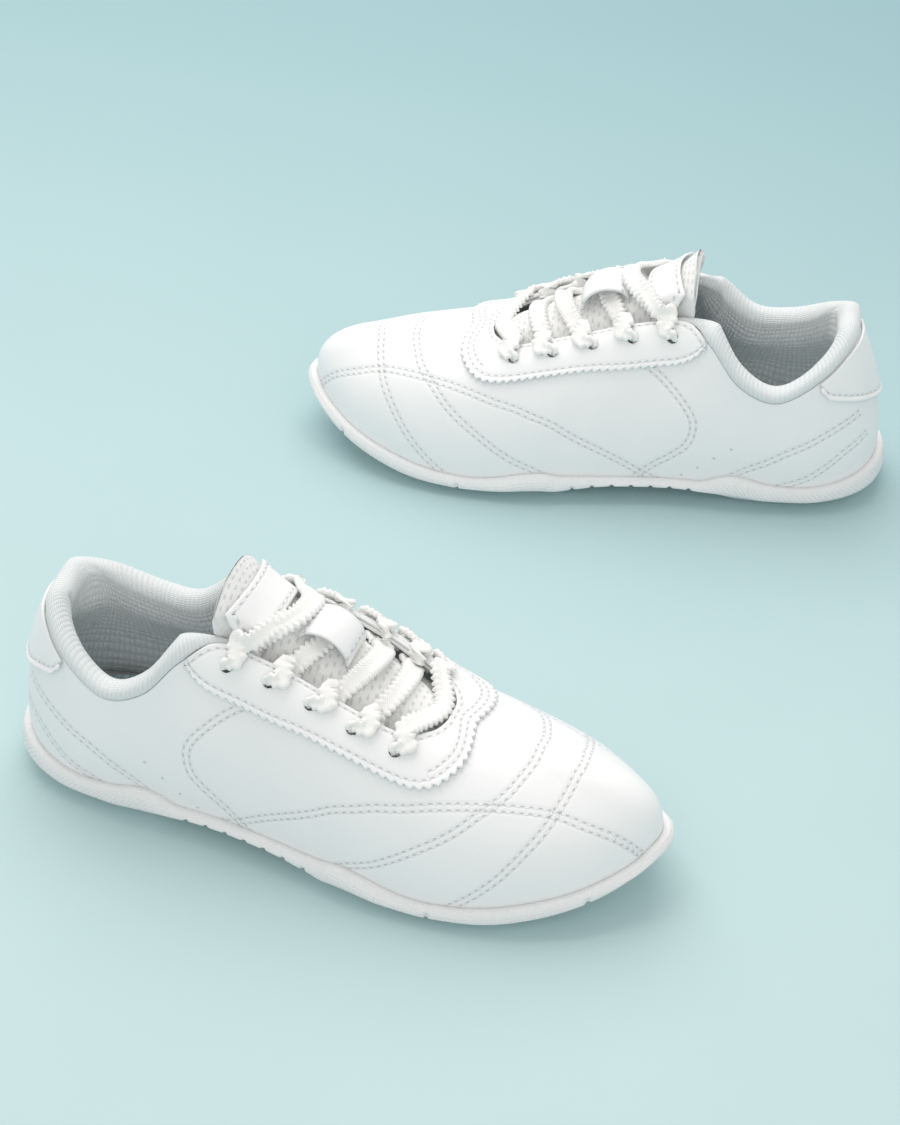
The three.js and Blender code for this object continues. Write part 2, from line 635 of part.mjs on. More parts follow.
function laceShape(extra = 0) {
  const sides = 8;
  const way = laceWay();
  return sweptRings(way.map(({ point, up, wide }, k) => {
    const before = way[Math.max(k - 1, 0)].point;
    const after = way[Math.min(k + 1, way.length - 1)].point;
    const ahead = after.clone().sub(before).normalize();
    const across = ahead.clone().cross(up).normalize();
    const flat = across.clone().cross(ahead).normalize();
    return spread(0, Math.PI * 2, sides).slice(0, -1).map((a) => point.clone()
      .addScaledVector(across, Math.cos(a) * (wide / 2 + extra)).addScaledVector(flat, -Math.sin(a) * (laceThick / 2 + extra)));
  }));
}

const dentedBy = (shape, other) => fromSolid(toSolid(shape).subtract(toSolid(other)));

// The same piece with a groove where the lace lies against it.
function withLaceGroove(shape) {
  return dentedBy(shape, laceShape(gap));
}

function agletShape(end) {
  const way = laceWay();
  const tip = end < 0 ? way[0].point : way[way.length - 1].point;
  const before = end < 0 ? way[1].point : way[way.length - 2].point;
  const along = tip.clone().sub(before).normalize();
  const start = tip.clone().addScaledVector(along, gap);
  return rod(start, start.clone().addScaledVector(along, 16), 1.5, 8);
}

// ---------------------------------------------------------------- assembly
const pieces = [
  ['outsole', outsoleShape, 'sole', 0.55],
  ['lasting_board', boardShape, 'board', 0.9],
  ['insole', insoleShape, 'insole', 0.9],
  ['toe_puff', () => stiffenerShape(10, 14), 'stiffener', 0.8],
  ['heel_counter', () => stiffenerShape(-3, 3), 'stiffener', 0.8],
  ['upper_shell', () => withLaceGroove(upperShape()), 'leather', 0.38],
  ['vamp_lining', liningShape, 'lining', 0.85],
  ['collar_padding', collarShape, 'knit', 0.9],
  ['eyestay', () => withLaceGroove(eyestayShape()), 'leather', 0.38],
  ['heel_tab', heelTabShape, 'leather', 0.36],
  ['tongue', () => withLaceGroove(dentedBy(tongueShape(), labelShape())), 'mesh', 0.9],
  ['tongue_label', () => withLaceGroove(labelShape()), 'leather', 0.4],
  ['lace_keeper', () => withLaceGroove(keeperShape()), 'leather', 0.4],
  ['lace', () => laceShape(), 'lace', 0.9],
  ['aglet_inner', () => agletShape(-1), 'aglet', 0.3],
  ['aglet_outer', () => agletShape(1), 'aglet', 0.3],
];

function mirrored(geometry) {
  const copy = geometry.clone();
  const position = copy.attributes.position;
  for (let i = 0; i < position.count; i += 1) position.setY(i, -position.getY(i));
  const index = Array.from(copy.index.array);
  for (let i = 0; i < index.length; i += 3) [index[i + 1], index[i + 2]] = [index[i + 2], index[i + 1]];
  copy.setIndex(index);
  return copy;
}

const leftShoe = new THREE.Group();
const rightShoe = new THREE.Group();
leftShoe.name = 'left_shoe';
rightShoe.name = 'right_shoe';
for (const [name, makeShape, colour, roughness] of pieces) {
  const shape = makeShape();
  for (const [side, group] of [['left', leftShoe], ['right', rightShoe]]) {
    const geometry = side === 'left' ? shape : mirrored(shape);
    geometry.computeVertexNormals();
    const material = new THREE.MeshStandardMaterial({ color: colours[colour], roughness, metalness: 0 });
    const mesh = new THREE.Mesh(geometry, material);
    mesh.name = `${side}_${name}`;
    group.add(mesh);
  }
}
rightShoe.position.set(...rightShoePlace);
rightShoe.rotation.z = THREE.MathUtils.degToRad(rightShoeTurn);

const cheerShoes = new THREE.Group();
cheerShoes.name = 'cheer_shoes';
cheerShoes.add(leftShoe, rightShoe);
cheerShoes.updateMatrixWorld(true);
const extent = new THREE.Box3().setFromObject(cheerShoes, true);
const middle = extent.getCenter(new THREE.Vector3());
cheerShoes.position.set(-middle.x, -middle.y, -extent.min.z);
export default cheerShoes;
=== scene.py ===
# A pair of white low-top cheer shoes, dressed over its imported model.
import json
import math
import bmesh
import bpy
import numpy as np
from mathutils import Matrix, Vector


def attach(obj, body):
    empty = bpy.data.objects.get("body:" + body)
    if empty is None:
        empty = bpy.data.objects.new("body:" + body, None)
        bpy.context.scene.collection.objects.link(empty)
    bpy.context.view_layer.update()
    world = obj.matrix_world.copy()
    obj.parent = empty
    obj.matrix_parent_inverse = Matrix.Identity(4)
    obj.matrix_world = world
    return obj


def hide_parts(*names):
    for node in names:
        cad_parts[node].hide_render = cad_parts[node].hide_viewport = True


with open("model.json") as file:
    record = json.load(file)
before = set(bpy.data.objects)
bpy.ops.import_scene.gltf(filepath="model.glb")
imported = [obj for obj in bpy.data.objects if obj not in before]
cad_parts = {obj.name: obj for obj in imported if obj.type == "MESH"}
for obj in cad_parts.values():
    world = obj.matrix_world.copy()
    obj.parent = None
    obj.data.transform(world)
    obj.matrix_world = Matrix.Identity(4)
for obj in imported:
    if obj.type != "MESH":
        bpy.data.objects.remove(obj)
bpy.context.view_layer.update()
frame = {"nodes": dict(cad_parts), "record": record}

# ------------------------------------------------------------------ studio
# The shoes stand on a pale painted floor under one broad overhead lamp, with a weak lamp from the front.
# The camera looks down on the inner side of the left shoe, a little from its toe.
HEEL_TREAD = Vector((0.041, 0.001, 0))
mounts = {mount["name"]: mount for mount in frame["record"]["mounts"]}
left_origin = Vector(mounts["left_heel_tread"]["pos_m"]) - HEEL_TREAD

camera = bpy.data.objects.new("camera", bpy.data.cameras.new("camera"))
camera.data.lens = 84.06
camera.data.clip_start = 0.05
camera.location = left_origin + Vector((0.42566, -0.66572, 0.70714))
camera.rotation_euler = (math.radians(51), 0, math.radians(20.2))
bpy.context.scene.collection.objects.link(camera)
bpy.context.scene.camera = camera
bpy.context.scene.view_settings.view_transform = "Standard"

LAMPS = (
    # name, place, size, power, colour
    ("overhead_lamp", (-0.35, 0.55, 1.15), 1.3, 12.5, (1.0, 0.965, 0.94)),
    ("front_lamp", (0.5, -1.3, 1.1), 1.2, 3.8, (1.0, 0.97, 0.945)),
)
for name, place, size, power, colour in LAMPS:
    lamp = bpy.data.objects.new(name, bpy.data.lights.new(name, "AREA"))
    lamp.data.size = size
    lamp.data.energy = power
    lamp.data.color = colour
    lamp.location = place
    lamp.rotation_euler = (-Vector(place)).to_track_quat("-Z", "Y").to_euler()
    bpy.context.scene.collection.objects.link(lamp)

world = bpy.data.worlds.new("studio_air")
world.use_nodes = True
world.node_tree.nodes["Background"].inputs["Color"].default_value = (1.0, 0.985, 0.975, 1)
world.node_tree.nodes["Background"].inputs["Strength"].default_value = 0.7
bpy.context.scene.world = world


MILLIMETRE = 0.001              # the height of a bump of 1


def linear(hex_colour):
    """An sRGB hex colour as linear RGBA."""
    parts = [int(hex_colour[i:i + 2], 16) / 255 for i in (1, 3, 5)]
    return [*(c / 12.92 if c <= 0.04045 else ((c + 0.055) / 1.055) ** 2.4 for c in parts), 1.0]


def add(tree, kind, inputs=(), **settings):
    """Adds a shader node with its settings, and links or sets its inputs."""
    made = tree.nodes.new("ShaderNode" + kind)
    for name, value in settings.items():
        setattr(made, name, value)
    for socket, value in dict(inputs).items():
        if isinstance(value, bpy.types.NodeSocket):
            tree.links.new(value, made.inputs[socket])
        else:
            made.inputs[socket].default_value = value
    return made


def new_finish(name, colour, roughness):
    """A material named for a real finish, with its tree and its surface shader."""
    material = bpy.data.materials.new(name)
    material.use_nodes = True
    tree = material.node_tree
    surface = tree.nodes["Principled BSDF"]
    surface.inputs["Base Color"].default_value = linear(colour)
    surface.inputs["Roughness"].default_value = roughness
    return material, tree, surface


# Floor: smooth matt card in a pale sea colour, faintly mottled by rolled paint, with painted shade towards the
# back.
floor_finish, tree, surface = new_finish("rolled_matt_card", "#b4d0d3", 0.85)
place = add(tree, "TexCoord").outputs["Object"]
mottle = add(tree, "TexNoise", {"Vector": place, "Scale": 9.0, "Detail": 4.0})
# Painted shade: the floor colour turns darker towards the back (+y).
back = add(tree, "MapRange", {0: add(tree, "SeparateXYZ", {0: place}).outputs[1], 1: -0.3, 2: 0.75},
           interpolation_type="SMOOTHSTEP")
near = add(tree, "Mix", {"Factor": mottle.outputs["Fac"], "A": linear("#bbd5d7"), "B": linear("#c1dadc")},
           data_type="RGBA")
tint = add(tree, "Mix", {"Factor": back.outputs[0], "A": near.outputs["Result"], "B": linear("#8bafb5")},
           data_type="RGBA")
tree.links.new(tint.outputs["Result"], surface.inputs["Base Color"])
FLOOR_HALF = 6                  # metres
floor_shape = bmesh.new()
bmesh.ops.create_grid(floor_shape, x_segments=2, y_segments=2, size=FLOOR_HALF)
floor_mesh = bpy.data.meshes.new("floor")
floor_shape.to_mesh(floor_mesh)
floor_mesh.materials.append(floor_finish)
floor = bpy.data.objects.new("floor", floor_mesh)
bpy.context.scene.collection.objects.link(floor)

# ------------------------------------------------------------------ sole
# One moulded rubber unit per shoe, with a pad under the ball, a thin arched waist and a pad under the heel.
# Its wall is textured, and its rim stands up round the upper, which is cemented into it.
# All sizes of the shoe are millimetres in its own frame: x from the heel to the toe, y to the wearer's left.
STEPS = 24                      # steps round the shoe: heel, inner side, toe, outer side
GAP = 0.3
LEATHER = 1.4
OVERLAY = 1.2
STIFFENER = 0.9
TUCK = 2.0                      # depth of the upper inside the rim
RIM_CLEARANCE = 1.2
RIM_WALL = 2.2
RIGHT_PLACE = (289, 277, 0)     # heel of the right shoe from the heel of the left
RIGHT_TURN = 189.6

# Stations round the last: sole edge, edge of the opening, and handles [outward, up] and [outward, down].
HEEL = ((10, 0), (22, 0, 77.5), (3, 18), (8, 17))
TOE = ((262, 3), (180.5, 2, 59.5), (2.5, 29), (44, 8.5))
INNER_SIDE = [
    ((15, -16.5), (25, -13.5, 75), (3, 18), (6.5, 16)),
    ((32.5, -27), (35.5, -23.5, 64.5), (3.5, 16), (4, 13)),
    ((57, -30.5), (53, -28.5, 54), (3.5, 15), (1.5, 11)),
    ((81, -31.5), (70, -28, 60), (4, 17), (2, 14)),
    ((100, -32.5), (83.5, -22.5, 75), (4.5, 20), (5, 18)),
    ((118, -35), (95, -12.5, 79.8), (4.5, 22), (14, 7)),
    ((140, -39), (117, -12.5, 76), (4, 24), (18, 7.3)),
    ((163, -42.5), (143, -15, 68.3), (3.5, 24), (20, 7.9)),
    ((189, -43.5), (167, -16.5, 61.5), (3, 25), (22, 8.2)),
    ((217, -38), (176.5, -11, 60), (3, 26), (28, 8.5)),
    ((244, -23), (180, -4.5, 59.5), (2.5, 27), (38, 8.5)),
]
OUTER_SIDE = [
    ((15, 17), (25.5, 14, 76), (3, 18), (6.5, 16)),
    ((32.5, 28), (36.5, 24.5, 69.5), (3.5, 16), (4, 13)),
    ((57, 33), (53, 30, 61.5), (3.5, 15), (1.5, 11)),
    ((81, 37), (69, 31, 60), (3.5, 17), (2, 14)),
    ((100, 41), (82, 30, 71.5), (3.5, 20), (5, 18)),
    ((118, 44.5), (93, 26.5, 79), (3, 22), (13, 8)),
    ((140, 47), (116, 28, 76.3), (3, 23), (15, 9)),
    ((163, 48), (142, 25.5, 70.2), (2.5, 23), (17, 9)),
    ((189, 46), (163.5, 20.5, 63.5), (2.5, 24), (20, 9)),
    ((217, 41), (175, 15, 60.4), (2.5, 26), (28, 9.5)),
    ((244, 27.5), (180, 8.5, 59.5), (2.5, 27), (38, 8.5)),
]
STATIONS = [HEEL, *INNER_SIDE, TOE, *reversed(OUTER_SIDE)]
# Heights of the rim, the underside and the foot bed as (x, z).
RIM_TOP = [(0, 21), (10, 18.5), (24, 13.8), (40, 12), (55, 13), (66, 16), (74, 15.5), (84, 12), (100, 12),
           (125, 12), (143, 12), (152, 13.5), (160, 12.8), (170, 10.5), (180, 9), (190, 8.8), (205, 10),
           (225, 13.5), (242, 17.5), (255, 22), (263, 27)]
UNDERSIDE = [(0, 4.5), (10, 1.2), (18, 0), (64, 0), (73, 1), (84, 4.2), (94, 5.6), (122, 5.6), (132, 4),
             (140, 1.6), (148, 0), (205, 0), (218, 1.4), (232, 5), (246, 10.5), (263, 19)]
FOOT_BED = [(0, 9.5), (55, 9.5), (85, 11.5), (120, 11), (150, 8), (175, 5.8), (205, 6), (225, 9),
            (242, 13.8), (262, 22)]


def along_length(knots, x):
    """Smooth curve through knots (x, value), read at x."""
    knots = np.array(knots, float)
    slopes = np.zeros(len(knots))
    for i in range(1, len(knots) - 1):
        if knots[i - 1, 1] != knots[i, 1] and knots[i + 1, 1] != knots[i, 1]:
            slopes[i] = (knots[i + 1, 1] - knots[i - 1, 1]) / (knots[i + 1, 0] - knots[i - 1, 0])
    x = np.asarray(x, float)
    i = np.clip(np.searchsorted(knots[:, 0], x, side="right") - 1, 0, len(knots) - 2)
    span = knots[i + 1, 0] - knots[i, 0]
    t = np.clip((x - knots[i, 0]) / span, 0, 1)
    return ((2 * t**3 - 3 * t**2 + 1) * knots[i, 1] + (t**3 - 2 * t**2 + t) * span * slopes[i]
            + (3 * t**2 - 2 * t**3) * knots[i + 1, 1] + (t**3 - t**2) * span * slopes[i + 1])


def closed_curve(points):
    """Closed smooth curve through the stations, read at any step."""
    p = np.array(points, float)
    count = len(p)

    def at(u):
        u = np.asarray(u, float) % count
        i = np.floor(u).astype(int)
        f = (u - i)[..., None]
        before, start, end, after = p[(i - 1) % count], p[i % count], p[(i + 1) % count], p[(i + 2) % count]
        return ((2 * f**3 - 3 * f**2 + 1) * start + (f**3 - 2 * f**2 + f) * 0.5 * (end - before)
                + (3 * f**2 - 2 * f**3) * end + (f**3 - f**2) * 0.5 * (after - start))

    return at


def unit(v):
    return v / np.maximum(np.linalg.norm(v, axis=-1, keepdims=True), 1e-9)


def ease(x, low, high):
    t = np.clip((np.asarray(x, float) - low) / (high - low), 0, 1)
    return t * t * (3 - 2 * t)


sole_edge = closed_curve([station[0] for station in STATIONS])


def outward_at(u):
    along = unit(sole_edge(np.asarray(u) + 0.02) - sole_edge(np.asarray(u) - 0.02))
    return np.stack([along[..., 1], -along[..., 0]], -1)


def laid_grid(columns, rows, place):
    """A square grid whose vertices are moved to place(a, b), a and b running from 0 to 1 across it."""
    shape = bmesh.new()
    shape.loops.layers.uv.new("UVMap")
    bmesh.ops.create_grid(shape, x_segments=columns, y_segments=rows, size=0.5, calc_uvs=True)
    flat = np.array([vert.co[:2] for vert in shape.verts]) + 0.5
    for vert, point in zip(shape.verts, place(flat[:, 0], flat[:, 1])):
        vert.co = point
    return shape, flat


def keep_values(shape, name, *columns):
    """Stores up to three numbers per vertex for the material to read."""
    layer = shape.verts.layers.float_vector.new(name)
    values = np.zeros((len(shape.verts), 3))
    for i, column in enumerate(columns):
        values[:, i] = column
    for vert, value in zip(shape.verts, values):
        vert[layer] = value


SAME_PLACE = 0.004              # vertices nearer than this are one
LEFT_PLACE = Matrix.Translation(left_origin) @ Matrix.Scale(MILLIMETRE, 4)
RIGHT_PLACE_TURNED = (LEFT_PLACE @ Matrix.Translation(RIGHT_PLACE)
                      @ Matrix.Rotation(math.radians(RIGHT_TURN), 4, "Z") @ Matrix.Diagonal((1, -1, 1, 1)))
SHOES = (("left", LEFT_PLACE), ("right", RIGHT_PLACE_TURNED))


def make_pair(name, shape, finish, nodes, body="shoe", wall=0.0, closes=False):
    """Makes the piece for both shoes: the right one is the mirror image. wall gives a sheet its thickness in
    millimetres, and closes fills the open ends of a tube."""
    keep_values(shape, "last", *np.array([vert.co[:] for vert in shape.verts]).T)
    bmesh.ops.remove_doubles(shape, verts=shape.verts, dist=SAME_PLACE)
    if closes:
        open_edges = [edge for edge in shape.edges if edge.is_boundary]
        bmesh.ops.holes_fill(shape, edges=open_edges, sides=0)
    made = []
    for side, place in SHOES:
        half = shape.copy()
        bmesh.ops.transform(half, matrix=place, verts=half.verts)
        if side == "right":
            bmesh.ops.reverse_faces(half, faces=half.faces)
        for face in half.faces:
            face.smooth = True
        mesh = bpy.data.meshes.new(f"{side}_{name}_dressed")
        half.to_mesh(mesh)
        mesh.materials.append(finish)
        piece = bpy.data.objects.new(mesh.name, mesh)
        bpy.context.scene.collection.objects.link(piece)
        if wall:
            solid = piece.modifiers.new("wall", "SOLIDIFY")
            solid.thickness = wall * MILLIMETRE
            solid.offset = -1
        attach(piece, f"{side}_{body}")
        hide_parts(*[f"{side}_{node}" for node in nodes])
        made.append(piece)
    return made


NOTCHES = [88 + 8.5 * i for i in range(7)]      # flexing notches along the waist
SLOTS = (188.5, 241.7)                          # two narrow cuts in the front wall
WALL_ROWS = 16


def sole_rows(x):
    """Section of the sole at x, from the middle of the underside up over the rim to the bed."""
    top = along_length(RIM_TOP, x)
    under = along_length(UNDERSIDE, x)
    bed = along_length(FOOT_BED, x)
    outer = -RIM_CLEARANCE - RIM_WALL
    pad = ease(x, 44, 62) * (1 - ease(x, 72, 84)) + ease(x, 140, 150) * (1 - ease(x, 166, 182))
    notch = sum(np.exp(-((x - at) / 0.7) ** 2) for at in NOTCHES)
    slot = sum(np.exp(-((x - at) / 0.55) ** 2) for at in SLOTS)
    rows = [(None, under), (7 + 0 * x, under), (4.4 + 0 * x, under + 0.1)]
    for w in np.linspace(1, 0.06, WALL_ROWS):
        height = (top - 0.9) * (1 - w) + (under + 1.2) * w
        swell = (1.1 + 0.9 * pad) * math.sin(math.pi * min(1, w * 1.15)) ** 0.8
        lean = 6.0 * float(ease(w, 0.42, 1.04))
        notched = 1.5 * notch * float(ease(w, 0.25, 0.4))
        slotted = 1.3 * slot * float(ease(w, 0.12, 0.2) * (1 - ease(w, 0.75, 0.9)))
        rows.append((outer - swell + lean + notched + slotted, height))
    for inset, drop in ((outer, 0.9), (outer + 0.35, 0.3), (outer + 0.9, 0.02), (outer + 1.6, 0.0),
                        (-0.55, 0.12), (-0.1, 0.5), (0.1, TUCK + 0.9), (LEATHER + 0.9, TUCK + 0.9)):
        rows.append((inset + 0 * x, top - drop))
    rows.append((6 + 0 * x, bed))
    rows.append((None, bed))
    return rows


def laid_section(rows_at, columns):
    """Grid round the sole outline whose rows are the section's points; None stands for the middle line."""
    count = len(rows_at(np.zeros(1)))

    def place(a, b):
        u = a * STEPS
        edge = sole_edge(u)
        across = outward_at(u)
        middle = (sole_edge(u) + sole_edge(STEPS - u)) / 2
        rows = rows_at(edge[:, 0])
        middle_rows = rows_at(middle[:, 0])
        k = np.rint(b * (count - 1)).astype(int)
        points = np.zeros((len(a), 3))
        for row, (inset, height) in enumerate(rows):
            chosen = k == row
            if inset is None:
                points[chosen, :2] = middle[chosen]
                points[chosen, 2] = middle_rows[row][1][chosen]
            else:
                points[chosen, :2] = edge[chosen] - across[chosen] * inset[chosen, None]
                points[chosen, 2] = height[chosen]
        return points

    return laid_grid(columns, count - 1, place)


SOLE_ROUND = 640                # length of the sole's edge
sole_shape, flat = laid_section(sole_rows, 880)
edge_x = sole_edge(flat[:, 0] * STEPS)[:, 0]
height = np.array([vert.co.z for vert in sole_shape.verts])
keep_values(sole_shape, "wall", flat[:, 0] * SOLE_ROUND, along_length(RIM_TOP, edge_x) - height, edge_x)

# Moulded white rubber: matt from its eroded mould, with crossed ribs on the wall from the ball forward and
# slanting ribs round the heel. The ribs are drawn coarser than real ones, so that they show.
RIB_PITCH = 2.4
RIB_HIGH = 0.3
rubber, tree, surface = new_finish("moulded_white_rubber", "#eef1f1", 0.52)
surface.inputs["Specular IOR Level"].default_value = 0.4
wall = add(tree, "Attribute", attribute_name="wall")
run_down_x = add(tree, "SeparateXYZ", {0: wall.outputs["Vector"]}).outputs
last = add(tree, "Attribute", attribute_name="last").outputs["Vector"]
grit = add(tree, "TexNoise", {"Vector": last, "Scale": 1.6, "Detail": 3.0}).outputs["Fac"]
slant = []
for way in (1.0, -1.0):
    mixed = add(tree, "Math", {0: run_down_x[1], 1: way, 2: run_down_x[0]}, operation="MULTIPLY_ADD")
    turns = add(tree, "Math", {0: mixed.outputs[0], 1: 2 * math.pi / RIB_PITCH}, operation="MULTIPLY")
    slant.append(add(tree, "Math", {0: turns.outputs[0]}, operation="SINE").outputs[0])
crossed = add(tree, "Math", {0: slant[0], 1: slant[1]}, operation="MULTIPLY").outputs[0]
ball_wall = add(tree, "MapRange", {0: run_down_x[2], 1: 143.0, 2: 150.0}).outputs[0]
heel_wall = add(tree, "MapRange", {0: run_down_x[2], 1: 84.0, 2: 70.0}).outputs[0]
below_rim = add(tree, "MapRange", {0: run_down_x[1], 1: 1.8, 2: 2.6}).outputs[0]
crossed_here = add(tree, "Math", {0: crossed, 1: ball_wall}, operation="MULTIPLY").outputs[0]
ribs_here = add(tree, "Math", {0: slant[0], 1: heel_wall}, operation="MULTIPLY").outputs[0]
both = add(tree, "Math", {0: crossed_here, 1: ribs_here}, operation="ADD").outputs[0]
moulded = add(tree, "Math", {0: both, 1: below_rim}, operation="MULTIPLY").outputs[0]
height = add(tree, "Math", {0: moulded, 1: RIB_HIGH, 2: grit}, operation="MULTIPLY_ADD").outputs[0]
bump = add(tree, "Bump", {"Height": height, "Distance": MILLIMETRE, "Strength": 0.55})
tree.links.new(bump.outputs["Normal"], surface.inputs["Normal"])
# Painted shade: the rubber is coloured a little darker in the troughs of the ribs.
rib_trough_shade = add(tree, "MapRange", {0: moulded, 1: -1.0, 2: 1.0, 3: 0.9, 4: 1.0}).outputs[0]
shade = add(tree, "Mix", {"Factor": rib_trough_shade, "A": linear("#d5dbdc"), "B": linear("#f4f5f5")}, data_type="RGBA")
tree.links.new(shade.outputs["Result"], surface.inputs["Base Color"])
make_pair("outsole", sole_shape, rubber, ["outsole"])

# ------------------------------------------------------------------ board and stiffeners
# Pressed fibre board over the sole, and sheets of stiff felted plastic at the toe and heel.
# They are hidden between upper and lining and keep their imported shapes.
board, tree, surface = new_finish("pressed_fibre_board", "#cfc6b0", 0.92)
place = add(tree, "TexCoord").outputs["Object"]
fibres = add(tree, "TexNoise", {"Vector": place, "Scale": 900.0, "Detail": 5.0})
tint = add(tree, "Mix", {"Factor": fibres.outputs["Fac"], "A": linear("#b9ae95"), "B": linear("#ddd5c2")},
           data_type="RGBA")
tree.links.new(tint.outputs["Result"], surface.inputs["Base Color"])
bump = add(tree, "Bump", {"Height": fibres.outputs["Fac"], "Distance": MILLIMETRE, "Strength": 0.3})
tree.links.new(bump.outputs["Normal"], surface.inputs["Normal"])
felt, tree, surface = new_finish("felted_stiffener_sheet", "#dddbd2", 0.88)
place = add(tree, "TexCoord").outputs["Object"]
fuzz = add(tree, "TexNoise", {"Vector": place, "Scale": 1500.0, "Detail": 4.0})
bump = add(tree, "Bump", {"Height": fuzz.outputs["Fac"], "Distance": MILLIMETRE, "Strength": 0.3})
tree.links.new(bump.outputs["Normal"], surface.inputs["Normal"])
tint = add(tree, "Mix", {"Factor": fuzz.outputs["Fac"], "A": linear("#cfccc0"), "B": linear("#e8e6de")},
           data_type="RGBA")
tree.links.new(tint.outputs["Result"], surface.inputs["Base Color"])
# Lace tips: clear film shrunk over white cord, glossy and a little uneven.
tip_film, tree, surface = new_finish("shrunk_clear_film", "#e6eaea", 0.2)
ripples = add(tree, "TexNoise", {"Vector": add(tree, "TexCoord").outputs["Object"], "Scale": 800.0})
bump = add(tree, "Bump", {"Height": ripples.outputs["Fac"], "Distance": MILLIMETRE, "Strength": 0.2})
tree.links.new(bump.outputs["Normal"], surface.inputs["Normal"])
for node, finish in (("lasting_board", board), ("toe_puff", felt), ("heel_counter", felt),
                     ("aglet_inner", tip_film), ("aglet_outer", tip_film)):
    for side in ("left", "right"):
        for material_slot in frame["nodes"][f"{side}_{node}"].material_slots:
            material_slot.material = finish

# ------------------------------------------------------------------ insole
# A foam pad covered with a grey-green woven grid, loose on the board.
INSOLE_INSET = 8.2
INSOLE_THICK = 8.5
BOARD_THICK = 1.6
GRID_PITCH = 3.0


def insole_rows(x):
    low = along_length(FOOT_BED, x) + GAP + BOARD_THICK + GAP
    high = low + INSOLE_THICK
    rim = INSOLE_INSET + 0 * x
    return [(None, low), (rim, low), (rim - 0.4, low + 1.5), (rim, high - 0.5), (rim + 0.8, high),
            (rim + 6, high), (None, high)]


insole_shape, _ = laid_section(insole_rows, 240)
grid_cloth, tree, surface = new_finish("woven_grid_cloth", "#c4d2d3", 0.85)
last = add(tree, "SeparateXYZ", {0: add(tree, "Attribute", attribute_name="last").outputs["Vector"]}).outputs
lines = []
for socket in (last[0], last[1]):
    near = add(tree, "Math", {0: socket, 1: GRID_PITCH / 2}, operation="PINGPONG").outputs[0]
    lines.append(add(tree, "MapRange", {0: near, 1: 0.5, 2: 0.25}).outputs[0])
lined = add(tree, "Math", {0: lines[0], 1: lines[1]}, operation="MAXIMUM").outputs[0]
tint = add(tree, "Mix", {"Factor": lined, "A": linear("#ccd9da"), "B": linear("#8fb2b6")}, data_type="RGBA")
tree.links.new(tint.outputs["Result"], surface.inputs["Base Color"])
bump = add(tree, "Bump", {"Height": lined, "Distance": MILLIMETRE, "Strength": 0.3})
tree.links.new(bump.outputs["Normal"], surface.inputs["Normal"])
make_pair("insole", insole_shape, grid_cloth, ["insole"], body="insole_pad")

# ------------------------------------------------------------------ upper
# Smooth coated synthetic leather, cut in one piece, lasted and cemented into the rim of the sole.
# Rows of decorative stitching run over it in pairs, and the eyelets are punched through it.
STITCH_PITCH = 3.3
ROW_HALF = 1.25                 # half the distance between the two rows of a pair
EYELETS = 5
EYELET_FIRST = 100.5            # x of the rearmost eyelet
EYELET_PITCH = 16.9
EYELET_INSET = 8.6              # depth of the eyelets below the throat edge
EYELET_RADIUS = 2.4
open_edge = closed_curve([station[1] for station in STATIONS])
foot_handle = closed_curve([station[2] for station in STATIONS])


def top_handle_at(i, station):
    """Handle of the rib at the opening: straight towards the sole edge in front, sideways round the heel."""
    if 6 <= i <= 18:
        way = np.array([station[0][0] - station[1][0], station[0][1] - station[1][1]], float)
    elif i == 0:
        way = np.array([-1.0, 0.0])
    else:
        way = np.array([-math.cos(i * 0.4), -1.0 if i < 12 else 1.0])
    return [*(way / np.hypot(*way) * station[3][0]), -station[3][1]]


top_handle = closed_curve([top_handle_at(i, station) for i, station in enumerate(STATIONS)])

# The last: points by step round the shoe and by part of the way from the sole edge to the opening.
FINE_U = 480
FINE_T = 120
steps_fine = np.arange(FINE_U) * STEPS / FINE_U
foot = sole_edge(steps_fine)
foot = np.column_stack([foot, along_length(RIM_TOP, foot[:, 0]) - TUCK])
low_handle = foot_handle(steps_fine)
first = foot + np.column_stack([outward_at(steps_fine) * low_handle[:, :1], low_handle[:, 1]])
opening = open_edge(steps_fine)
second = opening + top_handle(steps_fine)
w = np.linspace(0, 1, FINE_T + 1)[None, :, None]
ribs = ((1 - w)**3 * foot[:, None] + 3 * (1 - w)**2 * w * first[:, None]
        + 3 * (1 - w) * w**2 * second[:, None] + w**3 * opening[:, None])
gone = np.cumsum(np.linalg.norm(np.diff(ribs, axis=1), axis=2), axis=1)
gone = np.column_stack([np.zeros(FINE_U), gone])
RIB_LENGTH = gone[:, -1]
LAST = np.zeros((FINE_U, FINE_T + 1, 3))
for i in range(FINE_U):
    for axis in range(3):
        LAST[i, :, axis] = np.interp(np.linspace(0, RIB_LENGTH[i], FINE_T + 1), gone[i], ribs[i, :, axis])
round_shoe = np.roll(LAST, -1, 0) - np.roll(LAST, 1, 0)
LAST_NORMAL = unit(np.cross(round_shoe, np.gradient(LAST, axis=1)))


def read_last(table, u, t):
    u = (np.asarray(u, float) % STEPS) * FINE_U / STEPS
    t = np.clip(np.asarray(t, float), 0, 1) * FINE_T
    u, t = np.broadcast_arrays(u, t)
    i = np.floor(u).astype(int) % FINE_U
    j = np.minimum(np.floor(t).astype(int), FINE_T - 1)
    fu = (u - np.floor(u))[..., None]
    ft = (t - j)[..., None]
    k = (i + 1) % FINE_U
    near = table[i, j] * (1 - ft) + table[i, j + 1] * ft
    far = table[k, j] * (1 - ft) + table[k, j + 1] * ft
    return near * (1 - fu) + far * fu


def skin(u, t, off=0.0):
    """Point of the last at step u and part t, moved out by off."""
    return read_last(LAST, u, t) + skin_normal(u, t) * np.asarray(off, float)[..., None]


def skin_normal(u, t):
    return unit(read_last(LAST_NORMAL, u, t))


